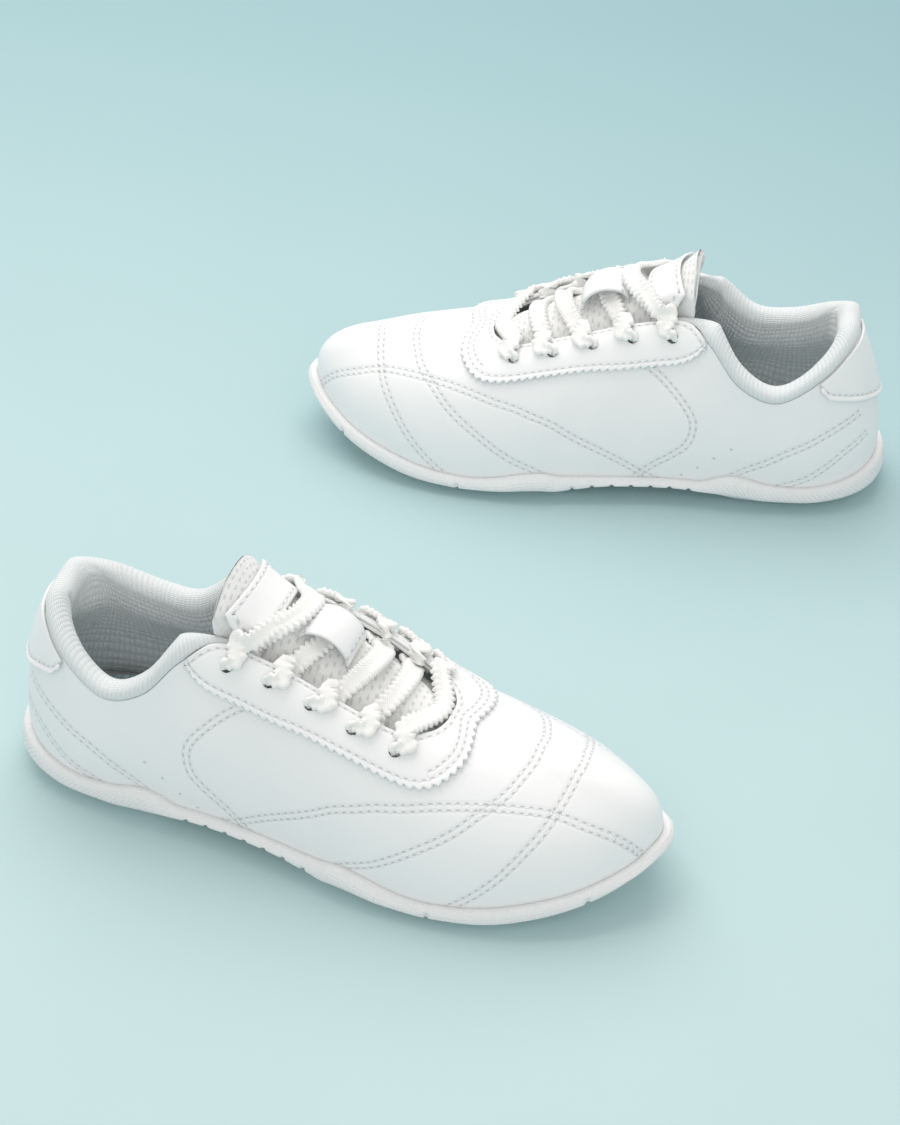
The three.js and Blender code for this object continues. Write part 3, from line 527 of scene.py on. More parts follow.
def rib_length(u):
    return np.interp(np.asarray(u, float) % STEPS, [*steps_fine, STEPS], [*RIB_LENGTH, RIB_LENGTH[0]])


def below(u, depth):
    """Part of rib u that lies depth millimetres below the opening."""
    return np.maximum(0, 1 - np.asarray(depth, float) / rib_length(u))


def throat_step(x, depth):
    """Step on the inner side where the point at that depth below the throat edge lies at x."""
    u = np.linspace(5.5, 11.9, 300)
    return float(np.interp(x, skin(u, below(u, depth))[:, 0], u))


EYELET_STEPS = [throat_step(EYELET_FIRST + EYELET_PITCH * i, EYELET_INSET) for i in range(EYELETS)]


def punch(shape, radius):
    """Cuts the round eyelet holes into a sheet over the throat."""
    for step in EYELET_STEPS:
        for u in (step, STEPS - step):
            centre = Vector(skin(u, below(u, EYELET_INSET)))
            normal = Vector(skin_normal(u, below(u, EYELET_INSET)))

            def offset(point):
                way = point - centre
                return way - normal * way.dot(normal)

            near = [face for face in shape.faces if (face.calc_center_median() - centre).length < radius + 4]
            inside = [face for face in near if offset(face.calc_center_median()).length < radius]
            bmesh.ops.delete(shape, geom=inside, context="FACES")
            for vert in shape.verts:
                if vert.is_boundary and (vert.co - centre).length < radius + 3:
                    way = offset(vert.co)
                    if 0 < way.length < radius * 1.7:
                        vert.co += way * (radius / way.length - 1)


# Stitch lines of the inner side as (step, part of the rib); the outer side has the same ones. The four vents
# are on the inner side only.
SIDE_LINE = [(11.62, 0), (11.4, 0.16), (11.2, 0.28), (11, 0.39), (10.68, 0.475), (10.24, 0.545), (9.6, 0.6),
             (9.04, 0.6), (8.4, 0.52), (7.88, 0.42), (6.88, 0.25), (5.72, 0.08), (5.1, 0)]
FRONT_LINE = [(9.2, 0), (9.8, 0.17), (10.36, 0.3), (11.04, 0.4), (11.6, 0.455), (12, 0.465)]
VAMP_LINE = [(7.5, 0), (8.08, 0.13), (8.92, 0.37), (9.72, 0.5), (10.24, 0.55), (10.64, 0.575), (11.2, 0.61),
             (12, 0.64)]
LOOP_LINE = [(6.6, 0.77), (6.12, 0.7), (5.4, 0.62), (4.96, 0.555), (4.72, 0.48), (4.68, 0.34), (4.92, 0.225),
             (5.24, 0.14), (5.6, 0.045), (5.8, 0)]
HEEL_LINE = [(1.05, 0.53), (1.44, 0.535), (1.8, 0.53), (2.16, 0.5), (2.68, 0.42), (3.08, 0.27), (3.4, 0.1),
             (3.6, 0)]
LOW_HEEL_LINE = [(0.9, 0.33), (1.24, 0.31), (1.52, 0.29), (1.84, 0.23), (2.2, 0.14), (2.56, 0.06), (2.75, 0)]
VENTS = [(3.68, 0.39), (3.96, 0.285), (4.24, 0.17), (4.56, 0.07)]


def line_points(knots, mirrored):
    """Closely spaced points along a stitch line laid on the last."""
    knots = np.array(knots, float)
    if mirrored:
        knots[:, 0] = STEPS - knots[:, 0]
    ends = np.vstack([2 * knots[0] - knots[1], knots, 2 * knots[-1] - knots[-2]])
    parts = []
    for i in range(len(knots) - 1):
        f = np.linspace(0, 1, 40, endpoint=False)[:, None]
        a, b, c, d = ends[i:i + 4]
        parts.append((2 * f**3 - 3 * f**2 + 1) * b + (f**3 - 2 * f**2 + f) * 0.5 * (c - a)
                     + (3 * f**2 - 2 * f**3) * c + (f**3 - f**2) * 0.5 * (d - b))
    flat_line = np.vstack([*parts, knots[-1:]])
    return skin(flat_line[:, 0], flat_line[:, 1])


def nearest_line(points, lines):
    """For each point, the distance to the nearest line, the run along it and how far past its end it lies."""
    distance = np.full(len(points), 99.0)
    sideways, along, past = distance.copy(), np.zeros(len(points)), np.zeros(len(points))
    for line in lines:
        near = np.flatnonzero(np.linalg.norm(points[:, None] - line[None, ::20], axis=2).min(1) < 14)
        start, way = line[:-1], np.diff(line, axis=0)
        length = np.linalg.norm(way, axis=1)
        run = np.concatenate([[0], np.cumsum(length)])
        for some in np.array_split(near, max(1, len(near) // 4000)):
            from_start = points[some][:, None] - start[None]
            part = np.einsum("pij,ij->pi", from_start, way) / length**2
            held = np.clip(part, 0, 1)
            gaps = np.linalg.norm(from_start - way[None] * held[..., None], axis=2)
            best = gaps.argmin(1)
            row = np.arange(len(some))
            over = np.abs(part[row, best] - held[row, best]) * length[best]
            gap = gaps[row, best]
            before = (best == 0) & (part[row, best] < 0)
            at_end = before | ((best == len(length) - 1) & (part[row, best] > 1))
            closer = gap < distance[some]
            chosen = some[closer]
            distance[chosen] = gap[closer]
            sideways[chosen] = np.sqrt(np.maximum(gap**2 - np.where(at_end, over, 0)**2, 0))[closer]
            along[chosen] = (run[best] + held[row, best] * length[best])[closer]
            past[chosen] = np.where(at_end, over, 0)[closer]
    return sideways, along, past


STITCH_GROOVE = 0.22
STITCH_THREAD = 0.26
STITCH_HOLE = 0.3


def stitched(tree, name, rows):
    """Height in millimetres of stitch rows at the given distances from a stored line, and the painted shade of
    their needle holes.
    """
    stored = add(tree, "Attribute", attribute_name=name)
    away, along, past = add(tree, "SeparateXYZ", {0: stored.outputs["Vector"]}).outputs
    sewn = add(tree, "MapRange", {0: past, 1: 0.5, 2: 0.1}).outputs[0]
    height, hole_shade = None, None
    for row in rows:
        side = add(tree, "Math", {0: away, 1: row}, operation="SUBTRACT").outputs[0]
        side = add(tree, "Math", {0: side}, operation="ABSOLUTE").outputs[0]
        to_hole = add(tree, "Math", {0: along, 1: STITCH_PITCH / 2}, operation="PINGPONG").outputs[0]
        shorter = add(tree, "Math", {0: to_hole, 1: 0.62}, operation="MULTIPLY").outputs[0]
        place = add(tree, "CombineXYZ", {0: side, 1: shorter})
        reach = add(tree, "VectorMath", {0: place.outputs[0]}, operation="LENGTH").outputs["Value"]
        hole = add(tree, "MapRange", {0: reach, 1: 0.5, 2: 0.2}).outputs[0]
        groove = add(tree, "MapRange", {0: side, 1: 1.7, 2: 0.0}, interpolation_type="SMOOTHSTEP").outputs[0]
        thread = add(tree, "MapRange", {0: side, 1: 0.5, 2: 0.3}).outputs[0]
        open_run = add(tree, "MapRange", {0: to_hole, 1: 0.7, 2: 1.0}).outputs[0]
        thread = add(tree, "Math", {0: thread, 1: open_run}, operation="MULTIPLY").outputs[0]
        hole = add(tree, "Math", {0: hole, 1: sewn}, operation="MULTIPLY").outputs[0]
        groove = add(tree, "Math", {0: groove, 1: sewn}, operation="MULTIPLY").outputs[0]
        thread = add(tree, "Math", {0: thread, 1: sewn}, operation="MULTIPLY").outputs[0]
        one = add(tree, "Math", {0: groove, 1: -STITCH_GROOVE}, operation="MULTIPLY").outputs[0]
        one = add(tree, "Math", {0: thread, 1: STITCH_THREAD, 2: one}, operation="MULTIPLY_ADD").outputs[0]
        one = add(tree, "Math", {0: hole, 1: -STITCH_HOLE, 2: one}, operation="MULTIPLY_ADD").outputs[0]
        height = one if height is None else add(tree, "Math", {0: height, 1: one}, operation="ADD").outputs[0]
        hole_shade = hole if hole_shade is None else add(tree, "Math", {0: hole_shade, 1: hole}, operation="MAXIMUM").outputs[0]
    return height, hole_shade


def leather_finish(name, patterns, vents=False):
    """Coated synthetic leather: satin, nearly smooth, with stitch rows pressed into it, and painted shade in
    the needle holes and vents.
    """
    material, tree, surface = new_finish(name, "#f3f5f6", 0.36)
    surface.inputs["Specular IOR Level"].default_value = 0.5
    last = add(tree, "Attribute", attribute_name="last").outputs["Vector"]
    grain = add(tree, "TexNoise", {"Vector": last, "Scale": 0.9, "Detail": 5.0, "Roughness": 0.6})
    height = add(tree, "Math", {0: grain.outputs["Fac"], 1: 0.07}, operation="MULTIPLY").outputs[0]
    hole_shade = None
    for stored, rows in patterns:
        more, holes = stitched(tree, stored, rows)
        height = add(tree, "Math", {0: height, 1: more}, operation="ADD").outputs[0]
        if hole_shade is not None:
            holes = add(tree, "Math", {0: hole_shade, 1: holes}, operation="MAXIMUM").outputs[0]
        hole_shade = holes
    if vents:
        # Painted shade: the vents are not cut, and are coloured dark as the shade inside a hole.
        vent = add(tree, "Attribute", attribute_name="vent").outputs["Vector"]
        reach = add(tree, "SeparateXYZ", {0: vent}).outputs[0]
        hole = add(tree, "MapRange", {0: reach, 1: 0.85, 2: 0.45}).outputs[0]
        painted_vent_shade = add(tree, "Math", {0: hole, 1: 1.5}, operation="MULTIPLY").outputs[0]
        hole_shade = add(tree, "Math", {0: hole_shade, 1: painted_vent_shade}, operation="MAXIMUM").outputs[0]
    bump = add(tree, "Bump", {"Height": height, "Distance": MILLIMETRE, "Strength": 0.9})
    tree.links.new(bump.outputs["Normal"], surface.inputs["Normal"])
    cloud = add(tree, "TexNoise", {"Vector": last, "Scale": 0.035, "Detail": 2.0})
    base = add(tree, "Mix", {"Factor": cloud.outputs["Fac"], "A": linear("#f0f3f4"), "B": linear("#f6f7f7")},
               data_type="RGBA")
    # Painted shade: needle holes and vents are tinted dark grey in the base colour.
    painted_hole_shade = add(tree, "MapRange", {0: hole_shade, 1: 0.0, 2: 1.0, 4: 0.34}).outputs[0]
    tint = add(tree, "Mix", {"Factor": painted_hole_shade, "A": base.outputs["Result"], "B": linear("#7c8586")},
               data_type="RGBA")
    tree.links.new(tint.outputs["Result"], surface.inputs["Base Color"])
    worn = add(tree, "MapRange", {0: grain.outputs["Fac"], 1: 0.3, 2: 0.7, 3: 0.31, 4: 0.42}).outputs[0]
    tree.links.new(worn, surface.inputs["Roughness"])
    return material


upper_shape, _ = laid_grid(560, 84, lambda a, b: skin(a * STEPS, b))
points = np.array([vert.co[:] for vert in upper_shape.verts])
running = [line_points(line, mirrored) for mirrored in (False, True)
           for line in (SIDE_LINE, HEEL_LINE, LOW_HEEL_LINE)]
across_lines = [line_points(line, mirrored) for mirrored in (False, True)
                for line in (FRONT_LINE, VAMP_LINE, LOOP_LINE)]
keep_values(upper_shape, "seam_along", *nearest_line(points, running))
keep_values(upper_shape, "seam_across", *nearest_line(points, across_lines))
to_vents = [np.linalg.norm(points - skin(u, t), axis=1) for u, t in VENTS]
keep_values(upper_shape, "vent", np.min(to_vents, axis=0))
punch(upper_shape, EYELET_RADIUS + 0.5)
seams = [("seam_along", (ROW_HALF,)), ("seam_across", (ROW_HALF,))]
upper_leather = leather_finish("coated_white_leather", seams, vents=True)
make_pair("upper", upper_shape, upper_leather, ["upper_shell"], wall=LEATHER)

# ------------------------------------------------------------------ lining and padded collar
# A coarse pique knit over foam: it rolls over the top line, comes down inside the heel and thins out along
# the throat. In front of it a plain woven lining is pasted to the vamp.
COLLAR_END = 6.7
COLLAR_RISE = 8.0
UNDER_UPPER = LEATHER + GAP + STIFFENER + GAP
PAD_THICK = 6.6


def collar_point(a, b):
    """Section of the collar: up outside, over the roll, down inside and back up behind the pad."""
    u = (a * 2 - 1) * COLLAR_END
    ending = ease(np.abs(u), 5.0, 6.2)
    size = 1 - 0.72 * ending
    deep = (1 - ending) * rib_length(u) * 0.86 + ending * 5
    crease = 2.6 * np.exp(-((u - 0.75) / 0.16) ** 2) + 1.2 * np.exp(-((u + 1.5) / 0.4) ** 2)
    pad = (PAD_THICK - crease) * (1 - ending) + 1.2 * ending
    rise = COLLAR_RISE * (1 - 0.6 * ending) * (1 - 0.28 * np.exp(-((np.abs(u) - 3) / 1.1) ** 2))
    edge = skin(u, 1)
    out = skin_normal(u, 1)
    up = unit(skin(u, 1) - skin(u, 0.94))

    def over(off, height):
        off = (off * np.ones_like(u))[:, None]
        height = (height * np.ones_like(u))[:, None]
        return edge + out * off + up * height

    def inside(part, thick):
        return skin(u, below(u, deep * part), -UNDER_UPPER - pad * thick)

    knots = [over(-0.1, GAP), over(0.9 * size, rise * 0.4), over(0.1 * size, rise * 0.8),
             over(-2.8 * size, rise * 1.06), over(-6.2 * size, rise),
             over(-UNDER_UPPER - pad * 0.9, rise * 0.6), over(-UNDER_UPPER - pad, GAP),
             inside(0.22, 1), inside(0.42, 0.55), inside(0.66, 0.2), inside(1, 0.14), inside(1, 0),
             inside(0.4, 0), over(-LEATHER - GAP, GAP)]
    knots = np.stack(knots)
    count = len(knots)
    p = (b % 1.0) * count
    i = np.floor(p).astype(int) % count
    f = (p - np.floor(p))[:, None]
    column = np.arange(len(u))
    k0, k1, k2, k3 = (knots[(i + j) % count, column] for j in (-1, 0, 1, 2))
    return ((2 * f**3 - 3 * f**2 + 1) * k1 + (f**3 - 2 * f**2 + f) * 0.5 * (k2 - k0)
            + (3 * f**2 - 2 * f**3) * k2 + (f**3 - f**2) * 0.5 * (k3 - k1))


def knit_finish(name, columns_mm, rows_mm, dot):
    """Pique knit: staggered round dots, matt and soft, with a little painted shade between them, drawn coarser
    than real.
    """
    material, tree, surface = new_finish(name, "#eaf0f1", 0.9)
    surface.inputs["Sheen Weight"].default_value = 0.25
    uv = add(tree, "SeparateXYZ", {0: add(tree, "UVMap").outputs["UV"]}).outputs
    waves = []
    for socket, span in ((uv[0], columns_mm), (uv[1], rows_mm)):
        turns = add(tree, "Math", {0: socket, 1: round(span / dot) * math.pi}, operation="MULTIPLY").outputs[0]
        waves.append(add(tree, "Math", {0: turns}, operation="SINE").outputs[0])
    dots = add(tree, "Math", {0: waves[0], 1: waves[1]}, operation="MULTIPLY").outputs[0]
    raised = add(tree, "Math", {0: dots}, operation="ABSOLUTE").outputs[0]
    last = add(tree, "Attribute", attribute_name="last").outputs["Vector"]
    fluff = add(tree, "TexNoise", {"Vector": last, "Scale": 2.4, "Detail": 3.0}).outputs["Fac"]
    height = add(tree, "Math", {0: fluff, 1: 0.25, 2: raised}, operation="MULTIPLY_ADD").outputs[0]
    bump = add(tree, "Bump", {"Height": height, "Distance": MILLIMETRE, "Strength": 0.42})
    tree.links.new(bump.outputs["Normal"], surface.inputs["Normal"])
    # Painted shade: the knit is coloured greyer in the hollows between the raised dots.
    tint = add(tree, "Mix", {"Factor": raised, "A": linear("#dfe7e9"), "B": linear("#f5f7f7")},
               data_type="RGBA")
    tree.links.new(tint.outputs["Result"], surface.inputs["Base Color"])
    return material


collar_shape, _ = laid_grid(300, 66, collar_point)
collar_knit = knit_finish("pique_knit_over_foam", 245, 118, 2.0)
for piece in make_pair("collar", collar_shape, collar_knit, ["collar_padding"], closes=True):
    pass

VAMP_START = 6.5


def vamp_lining_point(a, b):
    u = VAMP_START + a * (STEPS - 2 * VAMP_START)
    high = below(u, 14)
    return skin(u, 0.12 + (high - 0.12) * b, -UNDER_UPPER - 0.05)


lining_shape, _ = laid_grid(120, 30, vamp_lining_point)
lining_cloth, tree, surface = new_finish("plain_woven_lining", "#e3eaeb", 0.9)
last = add(tree, "Attribute", attribute_name="last").outputs["Vector"]
weave = add(tree, "TexWave", {"Vector": last, "Scale": 0.8})
bump = add(tree, "Bump", {"Height": weave.outputs["Fac"], "Distance": MILLIMETRE, "Strength": 0.2})
tree.links.new(bump.outputs["Normal"], surface.inputs["Normal"])
# Painted shade: the low lines of the weave are coloured darker.
tint = add(tree, "Mix", {"Factor": weave.outputs["Fac"], "A": linear("#d5dddf"), "B": linear("#ebf0f1")},
           data_type="RGBA")
tree.links.new(tint.outputs["Result"], surface.inputs["Base Color"])
make_pair("vamp_lining", lining_shape, lining_cloth, ["vamp_lining"], wall=0.8)

# ------------------------------------------------------------------ eyestay
# A band of the same leather round the throat, its outer edge pinked and stitched down, doubly in front.
PINK_PITCH = 3.5
PINK_DEPTH = 1.8
STAY_START = 5.15
STAY_FLANK = 20                 # width beside the throat
STAY_SWELL = 4.5                # further width behind the first eyelet
STAY_FRONT = 9                  # width round the front of the throat


def stay_width(u):
    from_start = np.minimum(np.abs(u - STAY_START), np.abs(STEPS - STAY_START - u))
    front = ease(12 - np.abs(u - 12), 9, 12)
    flank = STAY_FLANK + STAY_SWELL * np.exp(-((from_start - 1.2) / 1.1) ** 2)
    return np.maximum(1.2, flank * (1 - np.exp(-from_start / 0.42)) * (1 - front) + STAY_FRONT * front)


stay_u = np.linspace(STAY_START, STEPS - STAY_START, 1600)
stay_edge = skin(stay_u, below(stay_u, stay_width(stay_u)))
stay_run = np.concatenate([[0], np.cumsum(np.linalg.norm(np.diff(stay_edge, axis=0), axis=1))])
TEETH = round(stay_run[-1] / PINK_PITCH)
STAY_ROWS = 26
TOOTH_COLUMNS = 6


def stay_place(a, b):
    run_here = a * stay_run[-1]
    u = np.interp(run_here, stay_run, stay_u)
    width = stay_width(u)
    phase = (run_here * TEETH / stay_run[-1]) % 1
    tooth = (1 - np.abs(2 * phase - 1)) * PINK_DEPTH * ease(width, 2, 4)
    depth = (width + tooth * (1 - ease(b, 0.0, 0.16))) * (1 - b)
    lift = GAP + OVERLAY + 0.4 * (1 - ease(b, 0, 0.16))
    return u, depth, width, run_here, lift


def stay_point(a, b):
    u, depth, _, _, lift = stay_place(a, b)
    return skin(u, below(u, depth), lift)


stay_shape, flat = laid_grid(TEETH * TOOTH_COLUMNS, STAY_ROWS, stay_point)
u, depth, width, run_here, _ = stay_place(flat[:, 0], flat[:, 1])
from_edge = width - depth
front = ease(np.where(u < 12, u, STEPS - u), 9.1, 9.6)
keep_values(stay_shape, "pinked", from_edge, run_here)
keep_values(stay_shape, "pinked_front", np.where(front > 0.5, from_edge, 50), run_here)
throat_run = np.concatenate([[0], np.cumsum(np.linalg.norm(np.diff(skin(stay_u, 1.0), axis=0), axis=1))])
keep_values(stay_shape, "throat", depth, np.interp(u, stay_u, throat_run))
punch(stay_shape, EYELET_RADIUS)
stay_rows = [("pinked", (2.0,)), ("pinked_front", (4.8,)), ("throat", (2.0,))]
stay_leather = leather_finish("pinked_white_leather", stay_rows)
make_pair("eyestay", stay_shape, stay_leather, ["eyestay"], wall=OVERLAY)

# ------------------------------------------------------------------ heel tab
# A smooth leather overlay round the back of the top line, its lower edge folded and stitched.
TAB_REACH = 2.05
TAB_THICK = 1.3
STEP_AT_HEEL = 21               # length of a step round the heel
TAB_DEPTH = [(0, 31), (0.5, 28.5), (1, 23), (1.5, 15.5), (1.85, 9.5), (TAB_REACH, 4)]


def tab_point(a, b):
    u = (a * 2 - 1) * TAB_REACH
    full = along_length(TAB_DEPTH, np.abs(u))
    depth = 0.2 + full * (1 - b)
    from_hem = full * b
    fold = 0.7 * (1 - ease(from_hem, 0.8, 3.0)) - 0.5 * (1 - ease(from_hem, 0, 0.5))
    wave = 0.25 * np.sin(u * 7) * (1 - ease(from_hem, 2, 9))
    return skin(u, below(u, depth), GAP + TAB_THICK + fold + wave)


tab_shape, flat = laid_grid(150, 40, tab_point)
tab_u = (flat[:, 0] * 2 - 1) * TAB_REACH
keep_values(tab_shape, "hem", along_length(TAB_DEPTH, np.abs(tab_u)) * flat[:, 1], tab_u * STEP_AT_HEEL)
tab_leather = leather_finish("folded_white_leather", [("hem", (3.0,))])
make_pair("heel_tab", tab_shape, tab_leather, ["heel_tab"], wall=TAB_THICK)

# ------------------------------------------------------------------ tongue
# A padded strip of open spacer mesh with a plain bound edge, sewn under the vamp in front of the throat.
TONGUE_LINE = [(206, 0, 49), (192, 1, 54.5), (174, 2.5, 62), (150, 5, 71.5), (128, 7, 79.3), (113, 7.5, 86),
               (102.5, 7.5, 92.5), (97, 8, 98), (94.5, 8.5, 101.5)]
TONGUE_LONG = 138
TONGUE_HALF = [(0, 17), (0.2, 20), (0.45, 24), (0.74, 24.5), (0.85, 22), (1, 19.5)]
TONGUE_CROWN = [(0, 6), (0.16, 10), (0.35, 15), (0.5, 17), (0.65, 18), (0.75, 14), (0.9, 9.5), (1, 8.5)]
TONGUE_THICK = [(0, 1.6), (0.25, 3), (0.6, 5), (0.9, 6), (1, 4.5)]


def open_curve(points, count=60):
    """Dense points of an open smooth curve."""
    p = np.array(points, float)
    ends = np.vstack([2 * p[0] - p[1], p, 2 * p[-1] - p[-2]])
    f = np.linspace(0, 1, count, endpoint=False)[:, None]
    parts = [(2 * f**3 - 3 * f**2 + 1) * ends[i + 1] + (f**3 - 2 * f**2 + f) * 0.5 * (ends[i + 2] - ends[i])
             + (3 * f**2 - 2 * f**3) * ends[i + 2] + (f**3 - f**2) * 0.5 * (ends[i + 3] - ends[i + 1])
             for i in range(len(p) - 1)]
    return np.vstack([*parts, p[-1:]])


tongue_curve = open_curve(TONGUE_LINE)
tongue_run = np.concatenate([[0], np.cumsum(np.linalg.norm(np.diff(tongue_curve, axis=0), axis=1))])
tongue_run /= tongue_run[-1]
tongue_way = unit(np.gradient(tongue_curve, axis=0))


def tongue_frame(k):
    k = np.clip(k, 0, 1)
    centre = np.column_stack([np.interp(k, tongue_run, tongue_curve[:, i]) for i in range(3)])
    way = np.column_stack([np.interp(k, tongue_run, tongue_way[:, i]) for i in range(3)])
    return centre, unit(np.column_stack([way[:, 2], 0 * k, -way[:, 0]]))


# Underside of the flaps beside the throat, lowered by the room that lining, lace and collar need.
flap = []
for u in np.linspace(4.5, STEPS - 4.5, 60):
    room = 9.8 - 4.4 * float(ease(min(u, STEPS - u), 5, 6.1))
    edge = skin(u, 1.0)
    inward = unit(skin(u, 1.0) - skin(u, 0.94))
    for depth in (-6, -3, 0, 4, 9, 15, 22, 30):
        part = below(u, max(depth, 0))
        flap.append((skin(u, part, -room) + inward * max(-depth, 0), skin_normal(u, part), edge, inward))
flap_point, flap_normal, flap_edge, flap_inward = (np.array(values) for values in zip(*flap))


def pressed(points):
    """Moves points of the tongue below the flaps that lie over them."""
    away = np.linalg.norm(points[:, None] - flap_point[None], axis=2)
    weight = np.exp(-(away - away.min(1, keepdims=True)) / 1.5)
    weight /= weight.sum(1, keepdims=True)
    above = np.einsum("pfi,fi->pf", points[:, None] - flap_point[None], flap_normal)
    beyond = np.einsum("pfi,fi->pf", points[:, None] - flap_edge[None], flap_inward)
    height = np.einsum("pf,pf->p", weight, above)
    into = np.einsum("pf,pf->p", weight, beyond)
    push = np.maximum(height, 0) * (1 - ease(into, 2, 9))
    return points - unit(weight @ flap_normal) * push[:, None]


def on_tongue(k, q, off=0.0):
    """Point on the tongue: k along it from the sewn end, q from -1 to 1 across, off above its top face."""
    k, q = np.broadcast_arrays(np.asarray(k, float), np.asarray(q, float))
    centre, up = tongue_frame(k)
    side = along_length(TONGUE_HALF, k) * q
    drop = along_length(TONGUE_CROWN, k) * q * q
    top = pressed(centre + np.column_stack([0 * side, side, 0 * side]) - up * drop[:, None])
    return top + up * np.asarray(off * np.ones_like(k))[:, None]


def tongue_normal(k, q):
    across = on_tongue(k, q + 0.04) - on_tongue(k, q - 0.04)
    along = on_tongue(k + 0.01, q) - on_tongue(k - 0.01, q)
    return unit(np.cross(across, along))


def tongue_point(a, b):
    """Across the top face and back under it, along the whole tongue."""
    q = np.clip(np.where(b < 0.5, b * 4 - 1, 3 - b * 4), -1, 1)
    under = np.where(b <= 0.5, 0, 1)
    rim = np.sqrt(np.maximum(0, 1 - np.abs(q) ** 3.2))
    end = np.sqrt(np.clip((1 - a) / 0.025, 0, 1))
    k = a * (1 - 0.07 * q * q)
    thick = along_length(TONGUE_THICK, k) * (0.25 + 0.75 * rim * end)
    puff = 0.5 * rim * end
    return on_tongue(k, q * 0.995, np.where(under == 1, -thick, puff - 0.3))


tongue_shape, flat = laid_grid(150, 72, tongue_point)
q = np.where(flat[:, 1] < 0.5, flat[:, 1] * 4 - 1, 3 - flat[:, 1] * 4)
half = along_length(TONGUE_HALF, flat[:, 0])
keep_values(tongue_shape, "mesh_place", flat[:, 0] * TONGUE_LONG, q * half, half * (1 - np.abs(q)))

# Polyester spacer mesh: rows of small oval holes through the face, soft and matt; the binding has none.
# The holes are drawn coarser than real ones, and painted greyer as the shade inside them.
spacer_mesh, tree, surface = new_finish("spacer_mesh", "#f3f4f3", 0.88)
surface.inputs["Sheen Weight"].default_value = 0.2
mesh_place = add(tree, "Attribute", attribute_name="mesh_place").outputs["Vector"]
run_side_edge = add(tree, "SeparateXYZ", {0: mesh_place}).outputs
ROW = 3.0
HOLE_PITCH = 3.4
row_number = add(tree, "Math", {0: run_side_edge[0], 1: ROW}, operation="DIVIDE").outputs[0]
row_number = add(tree, "Math", {0: row_number}, operation="FLOOR").outputs[0]
shift = add(tree, "Math", {0: row_number, 1: HOLE_PITCH / 2}, operation="MULTIPLY").outputs[0]
shift = add(tree, "Math", {0: shift, 1: run_side_edge[1]}, operation="ADD").outputs[0]
side = add(tree, "Math", {0: shift, 1: HOLE_PITCH / 2}, operation="PINGPONG").outputs[0]
inner = add(tree, "Math", {0: run_side_edge[0], 1: ROW}, operation="MODULO").outputs[0]
inner = add(tree, "Math", {0: inner, 1: ROW / 2}, operation="SUBTRACT").outputs[0]
inner = add(tree, "Math", {0: inner, 1: 1.5}, operation="MULTIPLY").outputs[0]
from_hole = add(tree, "CombineXYZ", {0: side, 1: inner}).outputs[0]
reach = add(tree, "VectorMath", {0: from_hole}, operation="LENGTH")
hole = add(tree, "MapRange", {0: reach.outputs["Value"], 1: 1.1, 2: 0.6}).outputs[0]
bound = add(tree, "MapRange", {0: run_side_edge[2], 1: 3.2, 2: 4.0}).outputs[0]
hole = add(tree, "Math", {0: hole, 1: bound}, operation="MULTIPLY").outputs[0]
yarn = add(tree, "TexNoise", {"Vector": add(tree, "Attribute", attribute_name="last").outputs["Vector"],
                              "Scale": 2.2, "Detail": 4.0})
height = add(tree, "Math", {0: hole, 1: -0.5, 2: yarn.outputs["Fac"]}, operation="MULTIPLY_ADD").outputs[0]
bump = add(tree, "Bump", {"Height": height, "Distance": MILLIMETRE, "Strength": 0.45})
tree.links.new(bump.outputs["Normal"], surface.inputs["Normal"])
# Painted shade: the holes are coloured greyer, as the shade seen inside them.
tint = add(tree, "Mix", {"Factor": hole, "A": linear("#f5f6f5"), "B": linear("#dce1e1")}, data_type="RGBA")
tree.links.new(tint.outputs["Result"], surface.inputs["Base Color"])
for piece in make_pair("tongue", tongue_shape, spacer_mesh, ["tongue"], body="tongue_flap",
                       closes=True):
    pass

# ------------------------------------------------------------------ tongue label and lace keeper
# A plain leather patch stitched near the tongue's end, and a leather strap sewn down at both ends that bows
# up over the crossing laces.
LABEL_HALF = 16
LABEL_FROM, LABEL_TO = 0.8, 0.93
LABEL_LENGTH = 18.0


def label_point(a, b):
    k = LABEL_FROM + (LABEL_TO - LABEL_FROM) * b
    q = (1 - a * 2) * LABEL_HALF / along_length(TONGUE_HALF, k)
    to_side = np.minimum(a, 1 - a) * 2 * LABEL_HALF
    to_end = np.minimum(b, 1 - b) * LABEL_LENGTH
    corner = ease(np.minimum(to_side, to_end), 0, 0.8)
    return on_tongue(k, q) + tongue_normal(k, q) * (1.6 + 0.4 * corner)[:, None]


label_shape, flat = laid_grid(60, 36, label_point)
to_side = np.minimum(flat[:, 0], 1 - flat[:, 0]) * 2 * LABEL_HALF
to_end = np.minimum(flat[:, 1], 1 - flat[:, 1]) * LABEL_LENGTH
run_here = np.where(to_side < to_end, flat[:, 1] * LABEL_LENGTH, flat[:, 0] * 2 * LABEL_HALF)
keep_values(label_shape, "border", np.minimum(to_side, to_end), run_here)
label_leather = leather_finish("stitched_label_leather", [("border", (1.8,))])
make_pair("label", label_shape, label_leather, ["tongue_label"], body="tongue_flap", wall=0.8)

KEEPER_FROM, KEEPER_TO = 0.56, 0.72
KEEPER_HALF = 8.5
KEEPER_THICK = 1.2
KEEPER_LENGTH = 24.0


def keeper_point(a, b):
    k = KEEPER_FROM + (KEEPER_TO - KEEPER_FROM) * b
    q = (1 - a * 2) * KEEPER_HALF / along_length(TONGUE_HALF, k)
    bow = 0.6 + 7.2 * np.maximum(np.sin(math.pi * b), 0) ** 0.5
    return on_tongue(k, q, bow + KEEPER_THICK)


